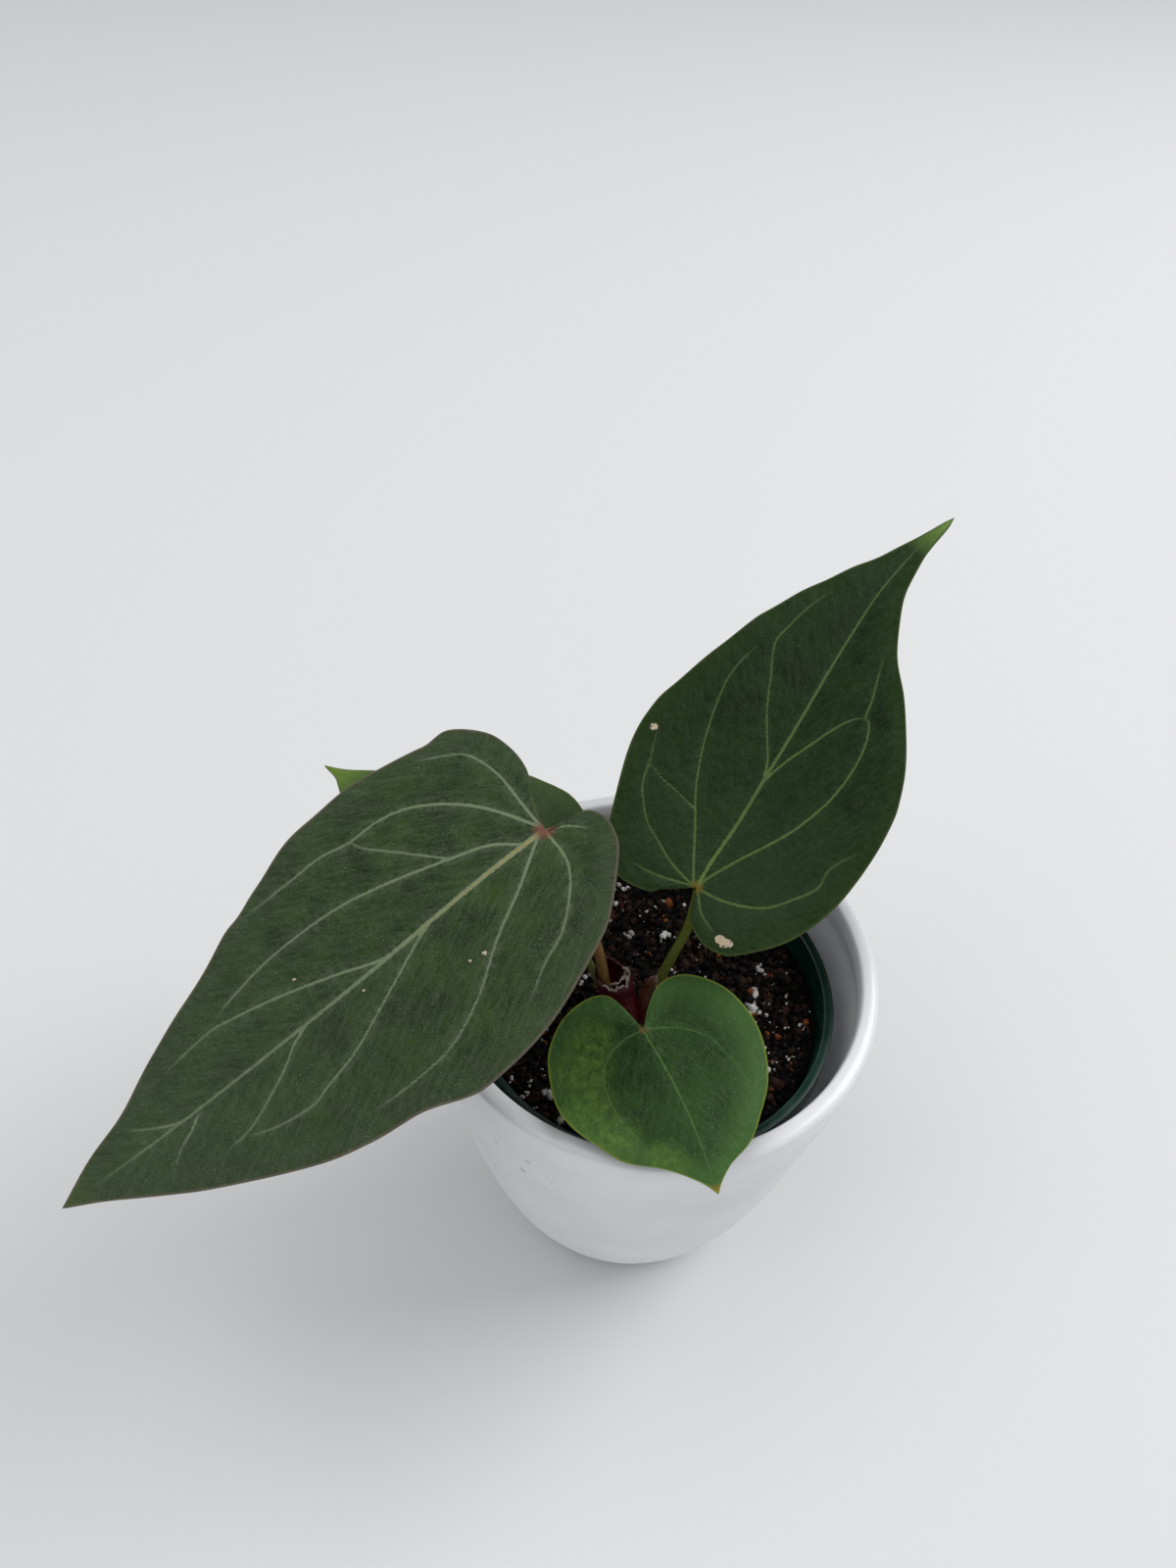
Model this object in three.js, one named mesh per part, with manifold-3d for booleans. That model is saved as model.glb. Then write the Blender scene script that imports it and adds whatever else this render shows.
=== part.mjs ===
// A young velvet-leaved anthurium in its nursery pot, standing inside a white outer pot.
// Millimetres, +Z up. The origin is the centre of the outer pot's flat base.
// The plant has four heart-shaped leaves. Each leaf is a blade carried by its own stalk.
// The stalks rise from one short crown, which stands in a plain hole in the potting mix.

import * as THREE from "three";
import Module from "manifold-3d";
import { mergeVertices } from "three/addons/utils/BufferGeometryUtils.js";

const wasm = await Module();
wasm.setup();

// Gap between pieces that touch on the real plant
const SEAT_GAP = 0.3;

// Flat sides round each pot
const SIDES = 48;

// Outer pot, as [radius, height]: the body's outside, the rounded lip from its outside over
// its top to its inside, and the inside corner at the floor
const OUTER_FLAT_RADIUS = 34.5;
const OUTER_FLOOR = 3;
const OUTER_WALL = 2.6;
const OUTER_PROFILE = [
  [37.2, 1.6],
  [45.7, 23.5],
  [51.8, 46.5],
  [56.0, 70],
  [59.2, 93],
  [61.5, 110],
];
const OUTER_LIP = [
  [61.9, 114.5],
  [61.5, 117.4],
  [60.3, 119],
  [59, 119.4],
  [57.6, 118.8],
  [56.7, 117.4],
  [56.5, 115.2],
];
const OUTER_CORNER = [
  [31, OUTER_FLOOR],
  [33.4, 3.5],
  [35.6, 5],
];
const OUTER_WALL_Z = [8, 108.4];

// Nursery pot: a 4 inch pot of thin plastic, wedged in the outer pot at the edge of its base
const NURSERY_SEAT_Z = 10;
const NURSERY_TOP_Z = 105;
const NURSERY_TOP_RADIUS = 49.5;
const NURSERY_WALL = 1;
const NURSERY_FLOOR = 1.6;
const NURSERY_BAND = { radius: 51.7, height: 9, bevel: 0.5 };
const DRAIN_HOLES = { count: 6, radius: 3.5, ring: 24 };

// Potting mix: mean level, rise towards the crown, and the height of its crumbs
const MIX_LEVEL = 97;
const MIX_RISE = 2;
const CRUMB_HEIGHT = 0.9;
const PERLITE = { count: 60, size: [1.4, 2.4], seed: 11 };
const BARK = { count: 34, size: [1.6, 2.8], seed: 29 };

// Crown: the short stem at the foot of the plant
const CROWN = { x: -3.2, y: -11, bottom: 76, top: 103, radius: 7.5 };
const CROWN_SIDES = 24;
const SOCKET_Z = 98;

// Leaf stalks: centre lines from the crown upwards, with the radius at the root and at the top
const STALKS = {
  left: {
    path: [
      [-6.2, -12, SOCKET_Z],
      [-8.8, -9.4, 107],
      [-12.6, -6.7, 115],
      [-15.4, -4.4, 127],
      [-21, -3.2, 144],
    ],
    radii: [1.7, 1.3],
    color: 0x6b5f3a,
  },
  right: {
    path: [
      [0.3, -9, SOCKET_Z],
      [1, -6, 111.5],
      [5.4, -0.8, 123],
      [8.3, 1.9, 132],
    ],
    radii: [1.7, 1.2],
    color: 0x6f7f35,
  },
  front: {
    path: [
      [-2, -15.3, SOCKET_Z],
      [-1.6, -18.5, 108],
      [-1.6, -24, 119],
    ],
    radii: [1.5, 0.9],
    color: 0x6f7f35,
  },
  back: {
    path: [
      [-6.3, -6.6, SOCKET_Z],
      [-8.6, -5.8, 103.5],
      [-13.7, -3.6, 109],
      [-17.4, -0.3, 115],
      [-24.5, 6.5, 125],
    ],
    radii: [1.4, 0.9],
    color: 0x7d9440,
  },
};

// Sheaths: the scale leaves that wrap the foot of a stalk, each a tube cut off at a slant.
// Tip is the direction that the pointed side faces, in degrees from +X, slack is how far that
// side bulges off the stalk from its foot to its point, and low is the height of the other
// side as a share of the pointed one.
const SHEATHS = {
  red: {
    stalk: "left",
    top: 126,
    tip: 10,
    slack: [1.8, 2.6, 1.8, 0.6, 0],
    low: 0.42,
    color: 0x6e1f2c,
  },
  brown: {
    stalk: "right",
    top: 118.5,
    tip: 170,
    slack: [0.4, 0.8, 0.7, 0.3, 0],
    low: 0.2,
    color: 0x6a4a30,
  },
};
const SHEATH_WALL = 0.6;
const SHEATH_EASE = 1.25;

// Leaf blades. The midrib is a Bezier curve from the stalk to the tip.
// An outline point is its station along the midrib, from 0 at the stalk to 1 at the tip and
// negative in the lobes, and its distance across from the midrib in millimetres.
// The midrib is rounded where the halves meet, and its rows crowd towards the stalk.
// Roll raises the right half and lowers the left one, and fold raises both, in degrees.
// Mesh is the number of rows along a blade and of columns across each half.
const BLADE_THICKNESS = 0.8;
const MIDRIB_ROUNDING = 2;
const MIDRIB_EASE = 1.6;
const STALK_STATION = 0.02;
const BLADES = {
  left: {
    midrib: [
      [-31, -1.5, 170],
      [-62.5, -30, 160],
      [-86.5, -47, 137],
      [-139, -75, 105],
    ],
    roll: [5, 18],
    fold: 5,
    rightSide: [
      [-0.02, 8],
      [-0.055, 16],
      [-0.06, 24],
      [-0.035, 32],
      [0.03, 37.5],
      [0.15, 40],
      [0.31, 40.7],
      [0.45, 38],
      [0.58, 31.5],
      [0.7, 24.4],
      [0.81, 17.4],
      [0.875, 10.4],
      [0.94, 6.9],
    ],
    leftSide: [
      [-0.07, 2],
      [-0.1, 7],
      [-0.085, 14],
      [-0.03, 22],
      [0.05, 31],
      [0.16, 37.3],
      [0.31, 40.8],
      [0.41, 39],
      [0.52, 33.7],
      [0.64, 29.5],
      [0.77, 21],
      [0.87, 12.2],
      [0.94, 5],
    ],
    mesh: [26, 6],
    color: 0x34452f,
  },
  right: {
    midrib: [
      [8.5, 2, 148],
      [31, 37.5, 168],
      [49.5, 90.5, 180],
      [86, 126.5, 184],
    ],
    roll: [-15, -15],
    fold: 8,
    rightSide: [
      [-0.055, 2.5],
      [-0.085, 9],
      [-0.07, 17.5],
      [-0.01, 26],
      [0.07, 31.8],
      [0.17, 35.4],
      [0.27, 36.2],
      [0.38, 33],
      [0.49, 26],
      [0.59, 17.5],
      [0.7, 9.7],
      [0.82, 5],
      [0.92, 2.2],
    ],
    leftSide: [
      [-0.01, 2],
      [-0.045, 9],
      [-0.06, 17],
      [-0.03, 25],
      [0.04, 29.8],
      [0.13, 33.3],
      [0.24, 34.4],
      [0.34, 30.5],
      [0.45, 25.5],
      [0.57, 19],
      [0.68, 12.7],
      [0.8, 5],
      [0.9, 1.5],
    ],
    mesh: [26, 6],
    color: 0x2d4a26,
  },
  front: {
    midrib: [
      [-3, -30.5, 130],
      [5.5, -45.5, 131],
      [10.5, -57, 130],
      [15.5, -69, 124.5],
    ],
    roll: [-5, -5],
    fold: -8,
    rightSide: [
      [-0.13, 0.8],
      [-0.26, 3.2],
      [-0.3, 9],
      [-0.26, 17],
      [-0.12, 24],
      [0.1, 27.6],
      [0.3, 26.8],
      [0.5, 22.7],
      [0.66, 18],
      [0.78, 10],
      [0.91, 3.3],
    ],
    leftSide: [
      [-0.11, 4.5],
      [-0.21, 11],
      [-0.21, 18.5],
      [-0.08, 25.3],
      [0.1, 27.8],
      [0.3, 26.3],
      [0.5, 22.5],
      [0.66, 17],
      [0.79, 11.8],
      [0.87, 5.5],
      [0.95, 1.5],
    ],
    mesh: [20, 5],
    color: 0x3f6b2e,
  },
  back: {
    midrib: [
      [-34.5, 18.5, 134],
      [-54, 21.5, 139],
      [-76, 34.5, 135],
      [-102, 59, 124],
    ],
    roll: [0, 0],
    fold: 3,
    rightSide: [
      [-0.1, 2.5],
      [-0.2, 9],
      [-0.21, 17],
      [-0.13, 24],
      [0.0, 27.8],
      [0.2, 27.6],
      [0.37, 25.8],
      [0.55, 21.5],
      [0.7, 14],
      [0.82, 7.5],
      [0.93, 2.7],
    ],
    leftSide: [
      [-0.1, 2.5],
      [-0.2, 9],
      [-0.2, 17],
      [-0.12, 23.5],
      [0.02, 27.3],
      [0.2, 27.2],
      [0.37, 25.2],
      [0.53, 20.8],
      [0.67, 14.5],
      [0.8, 8],
      [0.92, 1.9],
    ],
    mesh: [20, 5],
    color: 0x4a7a33,
  },
};

// A repeatable draw of numbers from 0 to 1
function seededRandom(seed) {
  let state = seed;
  return () => {
    state = (state * 1664525 + 1013904223) % 4294967296;
    return state / 4294967296;
  };
}

// A named mesh with a plain material
function piece(name, geometry, color, roughness) {
  const material = new THREE.MeshStandardMaterial({ color, roughness, metalness: 0 });
  const mesh = new THREE.Mesh(geometry, material);
  mesh.name = name;
  return mesh;
}

// A profile of [radius, height] points that starts and ends on the axis, turned about Z
function turned(profile, segments) {
  const points = profile.map(([radius, height]) => new THREE.Vector2(radius, height));
  return new THREE.LatheGeometry(points, segments).rotateX(Math.PI / 2);
}

function solidOf(geometry) {
  const bare = geometry.clone();
  bare.deleteAttribute("normal");
  bare.deleteAttribute("uv");
  const welded = mergeVertices(bare, 1e-4);
  return new wasm.Manifold(
    new wasm.Mesh({
      numProp: 3,
      vertProperties: new Float32Array(welded.attributes.position.array),
      triVerts: new Uint32Array(welded.index.array),
    }),
  );
}

function geometryOf(solid) {
  const mesh = solid.getMesh();
  const geometry = new THREE.BufferGeometry();
  geometry.setAttribute("position", new THREE.BufferAttribute(mesh.vertProperties, 3));
  geometry.setIndex(new THREE.BufferAttribute(mesh.triVerts, 1));
  return geometry;
}

// The main body of a solid, without the loose scraps that a cut leaves
function largestBody(solid) {
  return solid.decompose().sort((a, b) => b.volume() - a.volume())[0];
}

function pathOf(points) {
  return new THREE.CatmullRomCurve3(points.map((point) => new THREE.Vector3(...point)));
}

// Outer pot: points up the outside of its body, and the inside wall that runs parallel to it
const outerBody = new THREE.SplineCurve(
  OUTER_PROFILE.map(([radius, height]) => new THREE.Vector2(radius, height)),
)
  .getPoints(10)
  .map((point) => [point.x, point.y]);
const outerInside = [
  ...OUTER_CORNER,
  ...outerBody
    .filter(([, height]) => height > OUTER_WALL_Z[0] && height < OUTER_WALL_Z[1])
    .map(([radius, height]) => [radius - OUTER_WALL, height]),
];

// Radius of a profile at a height, on the straight line between its points
function radiusAt(profile, height) {
  const above = profile.findIndex((point) => point[1] > height);
  const [lowRadius, lowHeight] = profile[above - 1];
  const [highRadius, highHeight] = profile[above];
  const share = (height - lowHeight) / (highHeight - lowHeight);
  return THREE.MathUtils.lerp(lowRadius, highRadius, share);
}

// Outer pot: an egg-cup shape with a flat base and a thick rounded lip
function outerPot() {
  const outside = [[0, 0], [OUTER_FLAT_RADIUS, 0], ...outerBody];
  const inside = [...outerInside].reverse();
  return turned([...outside, ...OUTER_LIP, ...inside, [0, OUTER_FLOOR]], SIDES);
}

// Outside radius of the nursery pot's tapered wall at a height
const nurseryBaseRadius = radiusAt(outerInside, NURSERY_SEAT_Z) - SEAT_GAP;
function nurseryRadius(height) {
  const rise = (height - NURSERY_SEAT_Z) / (NURSERY_TOP_Z - NURSERY_SEAT_Z);
  return THREE.MathUtils.lerp(nurseryBaseRadius, NURSERY_TOP_RADIUS + NURSERY_WALL, rise);
}

// Nursery pot: a tapered wall with a band round its rim and drain holes in its floor
function nurseryPot() {
  const band = NURSERY_BAND;
  const bandZ = NURSERY_TOP_Z - band.height;
  const floorZ = NURSERY_SEAT_Z + NURSERY_FLOOR;
  const profile = [
    [0, NURSERY_SEAT_Z],
    [nurseryBaseRadius, NURSERY_SEAT_Z],
    [nurseryRadius(bandZ), bandZ],
    [band.radius, bandZ],
    [band.radius, NURSERY_TOP_Z - band.bevel],
    [band.radius - band.bevel, NURSERY_TOP_Z],
    [NURSERY_TOP_RADIUS, NURSERY_TOP_Z],
    [nurseryRadius(floorZ) - NURSERY_WALL, floorZ],
    [0, floorZ],
  ];
  let solid = solidOf(turned(profile, SIDES));
  for (let i = 0; i < DRAIN_HOLES.count; i += 1) {
    const turn = (2 * Math.PI * i) / DRAIN_HOLES.count;
    const { radius } = DRAIN_HOLES;
    const hole = new THREE.CylinderGeometry(radius, radius, 4 * NURSERY_FLOOR, 12);
    hole.rotateX(Math.PI / 2);
    hole.translate(
      DRAIN_HOLES.ring * Math.cos(turn),
      DRAIN_HOLES.ring * Math.sin(turn),
      NURSERY_SEAT_Z,
    );
    solid = solid.subtract(solidOf(hole));
  }
  return geometryOf(solid);
}

// Height of the potting mix at a point: a low mound with crumbs
function mixHeight(x, y) {
  const away = Math.hypot(x - CROWN.x, y - CROWN.y);
  const mound = MIX_RISE * Math.exp(-((away / 22) ** 2));
  const crumbs =
    Math.sin(x * 1.31 + 2 * Math.sin(y * 0.47)) * Math.cos(y * 1.17 + 1.6 * Math.sin(x * 0.53));
  const swell = Math.sin(x * 0.13 + 1) * Math.sin(y * 0.11 + 2);
  return MIX_LEVEL + mound + CRUMB_HEIGHT * (crumbs + 0.5 * swell);
}

// Potting mix: fills the nursery pot, with perlite and bark bits half sunk in its top
function pottingMix() {
  const bottom = NURSERY_SEAT_Z + NURSERY_FLOOR + SEAT_GAP;
  const edgeZ = MIX_LEVEL - 1;
  const wallRadius = (z) => nurseryRadius(z) - NURSERY_WALL - SEAT_GAP;
  const rings = 14;
  const profile = [
    [0, bottom],
    [wallRadius(bottom), bottom],
    [wallRadius(edgeZ), edgeZ],
  ];
  for (let ring = rings - 1; ring > 0; ring -= 1) {
    profile.push([(wallRadius(edgeZ) * ring) / rings, MIX_LEVEL]);
  }
  profile.push([0, MIX_LEVEL]);
  const body = turned(profile, SIDES);
  const position = body.attributes.position;
  for (let i = 0; i < position.count; i += 1) {
    if (position.getZ(i) > edgeZ + 0.5) {
      position.setZ(i, mixHeight(position.getX(i), position.getY(i)));
    }
  }
  let solid = solidOf(body);
  for (const bits of [PERLITE, BARK]) {
    const random = seededRandom(bits.seed);
    for (let i = 0; i < bits.count; i += 1) {
      const reach = (wallRadius(edgeZ) - 4) * Math.sqrt(random());
      const turn = 2 * Math.PI * random();
      const size = THREE.MathUtils.lerp(bits.size[0], bits.size[1], random());
      const bit = new THREE.IcosahedronGeometry(size, 0);
      bit.scale(1, 0.7 + 0.5 * random(), 0.75);
      bit.rotateZ(2 * Math.PI * random());
      const x = reach * Math.cos(turn);
      const y = reach * Math.sin(turn);
      bit.translate(x, y, mixHeight(x, y));
      const clearOfCrown = Math.hypot(x - CROWN.x, y - CROWN.y) > CROWN.radius + 2 * size;
      if (clearOfCrown) {
        solid = solid.add(solidOf(bit));
      }
    }
  }
  const holeRadius = CROWN.radius + SEAT_GAP;
  const holeDepth = CROWN.top - CROWN.bottom + SEAT_GAP;
  const hole = new THREE.CylinderGeometry(holeRadius, holeRadius, holeDepth, CROWN_SIDES);
  hole.rotateX(Math.PI / 2).translate(CROWN.x, CROWN.y, CROWN.top - holeDepth / 2);
  return geometryOf(largestBody(solid.subtract(solidOf(hole))));
}

// A round tapered stalk along a curve, closed at both ends
function stalkGeometry(curve, radii) {
  const steps = 22;
  const sides = 10;
  const frames = curve.computeFrenetFrames(steps, false);
  const positions = [];
  const index = [];
  for (let i = 0; i <= steps; i += 1) {
    const centre = curve.getPointAt(i / steps);
    const radius = THREE.MathUtils.lerp(radii[0], radii[1], Math.sqrt(i / steps));
    for (let side = 0; side < sides; side += 1) {
      const turn = (2 * Math.PI * side) / sides;
      const point = centre
        .clone()
        .addScaledVector(frames.normals[i], radius * Math.cos(turn))
        .addScaledVector(frames.binormals[i], radius * Math.sin(turn));
      positions.push(...point);
    }
  }
  for (let i = 0; i < steps; i += 1) {
    for (let side = 0; side < sides; side += 1) {
      const here = i * sides + side;
      const next = i * sides + ((side + 1) % sides);
      index.push(here, next, next + sides, here, next + sides, here + sides);
    }
  }
  const last = steps * sides;
  for (let side = 1; side < sides - 1; side += 1) {
    index.push(0, side + 1, side);
    index.push(last, last + side, last + side + 1);
  }
  const geometry = new THREE.BufferGeometry();
  geometry.setAttribute("position", new THREE.Float32BufferAttribute(positions, 3));
  geometry.setIndex(index);
  return geometry;
}

// Smooth value along a short list, at a place from 0 to 1
function along(values, place) {
  const spot = place * (values.length - 1);
  const start = Math.min(Math.floor(spot), values.length - 2);
  const blend = THREE.MathUtils.smoothstep(spot - start, 0, 1);
  return THREE.MathUtils.lerp(values[start], values[start + 1], blend);
}

// The place along a stalk's curve where it reaches a height
function placeAtHeight(curve, height) {
  const steps = 400;
  const points = curve.getSpacedPoints(steps);
  return points.findIndex((point) => point.z >= height) / steps;
}

// A sheath: a thin tube round a stalk, cut at a slant so that one side ends in a point
function sheathGeometry({ stalk, top, slack, tip, low }) {
  const curve = stalkCurve(stalk);
  const start = placeAtHeight(curve, CROWN.top + SEAT_GAP);
  const end = placeAtHeight(curve, top);
  const towards = THREE.MathUtils.degToRad(tip);
  const insideRadius = STALKS[stalk].radii[0] * SHEATH_EASE + SEAT_GAP;
  const steps = 8;
  const sides = 14;
  const positions = [];
  const index = [];
  for (const wall of [SHEATH_WALL, 0]) {
    for (let i = 0; i <= steps; i += 1) {
      for (let side = 0; side < sides; side += 1) {
        const turn = (2 * Math.PI * side) / sides;
        const nearTip = ((1 + Math.cos(turn - towards)) / 2) ** 3;
        const place = (i / steps) * THREE.MathUtils.lerp(low, 1, nearTip);
        const radius = insideRadius + wall + along(slack, place) * nearTip;
        const centre = curve.getPointAt(THREE.MathUtils.lerp(start, end, place));
        positions.push(
          centre.x + radius * Math.cos(turn),
          centre.y + radius * Math.sin(turn),
          centre.z,
        );
      }
    }
  }
  const inner = (steps + 1) * sides;
  const rim = steps * sides;
  for (let side = 0; side < sides; side += 1) {
    const next = (side + 1) % sides;
    for (let i = 0; i < steps; i += 1) {
      const a = i * sides + side;
      const b = i * sides + next;
      index.push(a, b, b + sides, a, b + sides, a + sides);
      index.push(inner + a, inner + b + sides, inner + b);
      index.push(inner + a, inner + a + sides, inner + b + sides);
    }
    index.push(rim + side, rim + next, inner + rim + next);
    index.push(rim + side, inner + rim + next, inner + rim + side);
    index.push(side, inner + next, next, side, inner + side, inner + next);
  }
  const geometry = new THREE.BufferGeometry();
  geometry.setAttribute("position", new THREE.Float32BufferAttribute(positions, 3));
  geometry.setIndex(index);
  return geometry;
}

// The curved surface of a blade: the point at a station along and a distance across,
// right of the midrib as seen from the stalk, and the direction that the upper face looks in
function bladeSurface(blade) {
  const curve = new THREE.CubicBezierCurve3(...blade.midrib.map((p) => new THREE.Vector3(...p)));
  const start = curve.v1.clone().sub(curve.v0).multiplyScalar(3);
  const fold = THREE.MathUtils.degToRad(blade.fold);
  return (station, across) => {
    const place = Math.max(station, 0);
    const centre = curve.getPoint(place).addScaledVector(start, Math.min(station, 0));
    const tangent = curve.getTangent(place);
    const level = tangent.clone().cross(new THREE.Vector3(0, 0, 1)).normalize();
    const roll = THREE.MathUtils.lerp(blade.roll[0], blade.roll[1], place);
    const side = level.applyAxisAngle(tangent, -THREE.MathUtils.degToRad(roll));
    const normal = side.clone().cross(tangent);
    const rise = (Math.hypot(across, MIDRIB_ROUNDING) - MIDRIB_ROUNDING) * Math.sin(fold);
    const point = centre
      .addScaledVector(side, across * Math.cos(fold))
      .addScaledVector(normal, rise);
    return { point, normal };
  };
}

// A blade: a thin curved sheet between the midrib and the outline on both sides,
// with the same triangles on its upper and lower faces
function bladeGeometry(blade) {
  const surface = bladeSurface(blade);
  const [rows, columns] = blade.mesh;
  const positions = [];
  const index = [];
  const lift = BLADE_THICKNESS / 2;
  const addPoint = (station, across) => {
    const { point, normal } = surface(station, across);
    positions.push(...point.clone().addScaledVector(normal, lift));
    positions.push(...point.clone().addScaledVector(normal, -lift));
    return positions.length / 3 - 2;
  };
  const addFace = (a, b, c) => {
    index.push(a, b, c, a + 1, c + 1, b + 1);
  };
  const root = addPoint(0, 0);
  const tip = addPoint(1, 0);
  const spine = [];
  for (let row = 1; row < rows; row += 1) {
    spine[row] = addPoint((row / rows) ** MIDRIB_EASE, 0);
  }
  for (const [outline, hand] of [
    [blade.rightSide, 1],
    [blade.leftSide, -1],
  ]) {
    const edge = new THREE.SplineCurve(
      [[0, 0], ...outline, [1, 0]].map(([x, y]) => new THREE.Vector2(x, y)),
    );
    const grid = [];
    for (let row = 1; row < rows; row += 1) {
      const end = edge.getPoint(row / rows);
      const begin = (row / rows) ** MIDRIB_EASE;
      grid[row] = [spine[row]];
      for (let column = 1; column <= columns; column += 1) {
        const share = column / columns;
        const station = THREE.MathUtils.lerp(begin, end.x, share);
        grid[row].push(addPoint(station, hand * end.y * share));
      }
    }
    const face = (a, b, c) => (hand > 0 ? addFace(a, b, c) : addFace(a, c, b));
    const wall = (a, b) => {
      const [from, to] = hand > 0 ? [a, b] : [b, a];
      index.push(from, from + 1, to + 1, from, to + 1, to);
    };
    for (let column = 0; column < columns; column += 1) {
      face(root, grid[1][column + 1], grid[1][column]);
      for (let row = 1; row < rows - 1; row += 1) {
        face(grid[row][column], grid[row][column + 1], grid[row + 1][column + 1]);
        face(grid[row][column], grid[row + 1][column + 1], grid[row + 1][column]);
      }
      face(grid[rows - 1][column], grid[rows - 1][column + 1], tip);
    }
    wall(root, grid[1][columns]);
    for (let row = 1; row < rows - 1; row += 1) {
      wall(grid[row][columns], grid[row + 1][columns]);
    }
    wall(grid[rows - 1][columns], tip);
  }
  const geometry = new THREE.BufferGeometry();
  geometry.setAttribute("position", new THREE.Float32BufferAttribute(positions, 3));
  geometry.setIndex(index);
  return geometry;
}

// The top of a stalk: just under its blade, a little in front of the notch
function stalkTop(blade, stalk) {
  const radius = stalk.radii[1];
  const { point, normal } = bladeSurface(blade)(STALK_STATION, 0);
  const last = new THREE.Vector3(...stalk.path.at(-1));
  const direction = point.clone().sub(last).normalize();
  const tilt = Math.sqrt(1 - direction.dot(normal) ** 2);
  return point.addScaledVector(normal, -(BLADE_THICKNESS / 2 + SEAT_GAP + radius * tilt));
}

function stalkCurve(name) {
  const stalk = STALKS[name];
  return pathOf([...stalk.path, stalkTop(BLADES[name], stalk).toArray()]);
}

// Crown: a short stout stem with a socket for the root of each stalk
function crown() {
  const { x, y, bottom, top, radius } = CROWN;
  const profile = [
    [0, bottom],
    [radius * 0.5, bottom],
    [radius * 0.8, bottom + 4],
    [radius, bottom + 12],
    [radius, top - 2.5],
    [radius * 0.88, top - 0.7],
    [radius * 0.7, top],
    [0, top],
  ];
  let solid = solidOf(turned(profile, CROWN_SIDES).translate(x, y, 0));
  for (const name of Object.keys(STALKS)) {
    const radii = STALKS[name].radii.map((size) => size + SEAT_GAP);
    const socket = stalkGeometry(stalkCurve(name), radii);
    const well = new THREE.CylinderGeometry(radii[0], radii[0], 2, 10);
    well.rotateX(Math.PI / 2).translate(...STALKS[name].path[0]);
    solid = solid.subtract(solidOf(socket)).subtract(solidOf(well));
  }
  return geometryOf(solid);
}

const plant = new THREE.Group();
plant.add(piece("outer_pot", outerPot(), 0xe9e9ea, 0.3));
plant.add(piece("nursery_pot", nurseryPot(), 0x16402c, 0.5));
plant.add(piece("potting_mix", pottingMix(), 0x1b1412, 0.95));
plant.add(piece("crown", crown(), 0x4a2a22, 0.8));
for (const [name, stalk] of Object.entries(STALKS)) {
  plant.add(piece(`stalk_${name}`, stalkGeometry(stalkCurve(name), stalk.radii), stalk.color, 0.5));
}
for (const [name, sheath] of Object.entries(SHEATHS)) {
  plant.add(piece(`sheath_${name}`, sheathGeometry(sheath), sheath.color, 0.6));
}
for (const [name, blade] of Object.entries(BLADES)) {
  plant.add(piece(`blade_${name}`, bladeGeometry(blade), blade.color, 0.6));
}

export default plant;
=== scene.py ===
import math

import bpy
import numpy as np
from mathutils import Matrix, Vector


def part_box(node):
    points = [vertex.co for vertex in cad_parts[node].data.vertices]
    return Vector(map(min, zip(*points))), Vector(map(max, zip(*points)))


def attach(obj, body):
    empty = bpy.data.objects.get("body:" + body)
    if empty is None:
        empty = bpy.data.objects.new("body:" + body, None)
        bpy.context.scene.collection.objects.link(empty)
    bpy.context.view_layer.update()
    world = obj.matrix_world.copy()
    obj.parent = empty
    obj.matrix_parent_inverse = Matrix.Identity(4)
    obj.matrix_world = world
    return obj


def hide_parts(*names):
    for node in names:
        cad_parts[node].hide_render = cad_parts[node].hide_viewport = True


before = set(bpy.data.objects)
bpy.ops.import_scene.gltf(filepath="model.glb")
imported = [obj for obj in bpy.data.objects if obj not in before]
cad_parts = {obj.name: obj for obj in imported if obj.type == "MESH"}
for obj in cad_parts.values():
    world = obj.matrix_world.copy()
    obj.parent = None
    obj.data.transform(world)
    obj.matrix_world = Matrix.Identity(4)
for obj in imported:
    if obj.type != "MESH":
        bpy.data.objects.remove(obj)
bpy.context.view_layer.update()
MM = 0.001

# Camera: held over the pot and looking down at it at about 46 degrees, with the horizon
# tilted by 4 degrees, through a 27 mm lens on a 36 mm frame.
CAMERA_PLACE = Vector((-21.2, -190.4, 383.9)) * MM
CAMERA_PITCH = 46.14
CAMERA_ROLL = 4.05

bpy.ops.object.camera_add(location=CAMERA_PLACE)
camera = bpy.context.object
camera.data.lens = 27
camera.data.sensor_width = 36
pitch = Matrix.Rotation(math.radians(90 - CAMERA_PITCH), 3, "X")
roll = Matrix.Rotation(math.radians(CAMERA_ROLL), 3, "Z")
camera.rotation_euler = (pitch @ roll).to_euler()
bpy.context.scene.camera = camera


# Outer pot: a white cover pot, injection moulded in polypropylene. Its wall leans out like an
# egg cup and ends in a thick rounded lip. The mould was polished at the lip and left fine
# sand-blasted on the body, so the lip is glossy and the body satin.
POT_SIDES = 144
POT_WALL = 2.6
POT_BASE = [[0.6, 0.8], [29, 0.8], [29.8, 0.3], [31, 0], [34.5, 0], [36, 0.5]]
POT_BODY = [[37.2, 1.6], [45.7, 23.5], [51.8, 46.5], [56, 70], [59.2, 93], [61.5, 110]]
POT_LIP = [[61.9, 114.5], [61.9, 117.6], [61.4, 118.7], [60.2, 119.3], [58.6, 119.4], [57.3, 118.8]]
POT_LIP_END = [56.6, 115.2]
POT_CORNER = [[35.6, 5], [33.4, 3.5], [31, 3], [0.6, 3]]
# Heights between which the inside of the wall follows the outside
POT_INSIDE = (8, 108.4)


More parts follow.
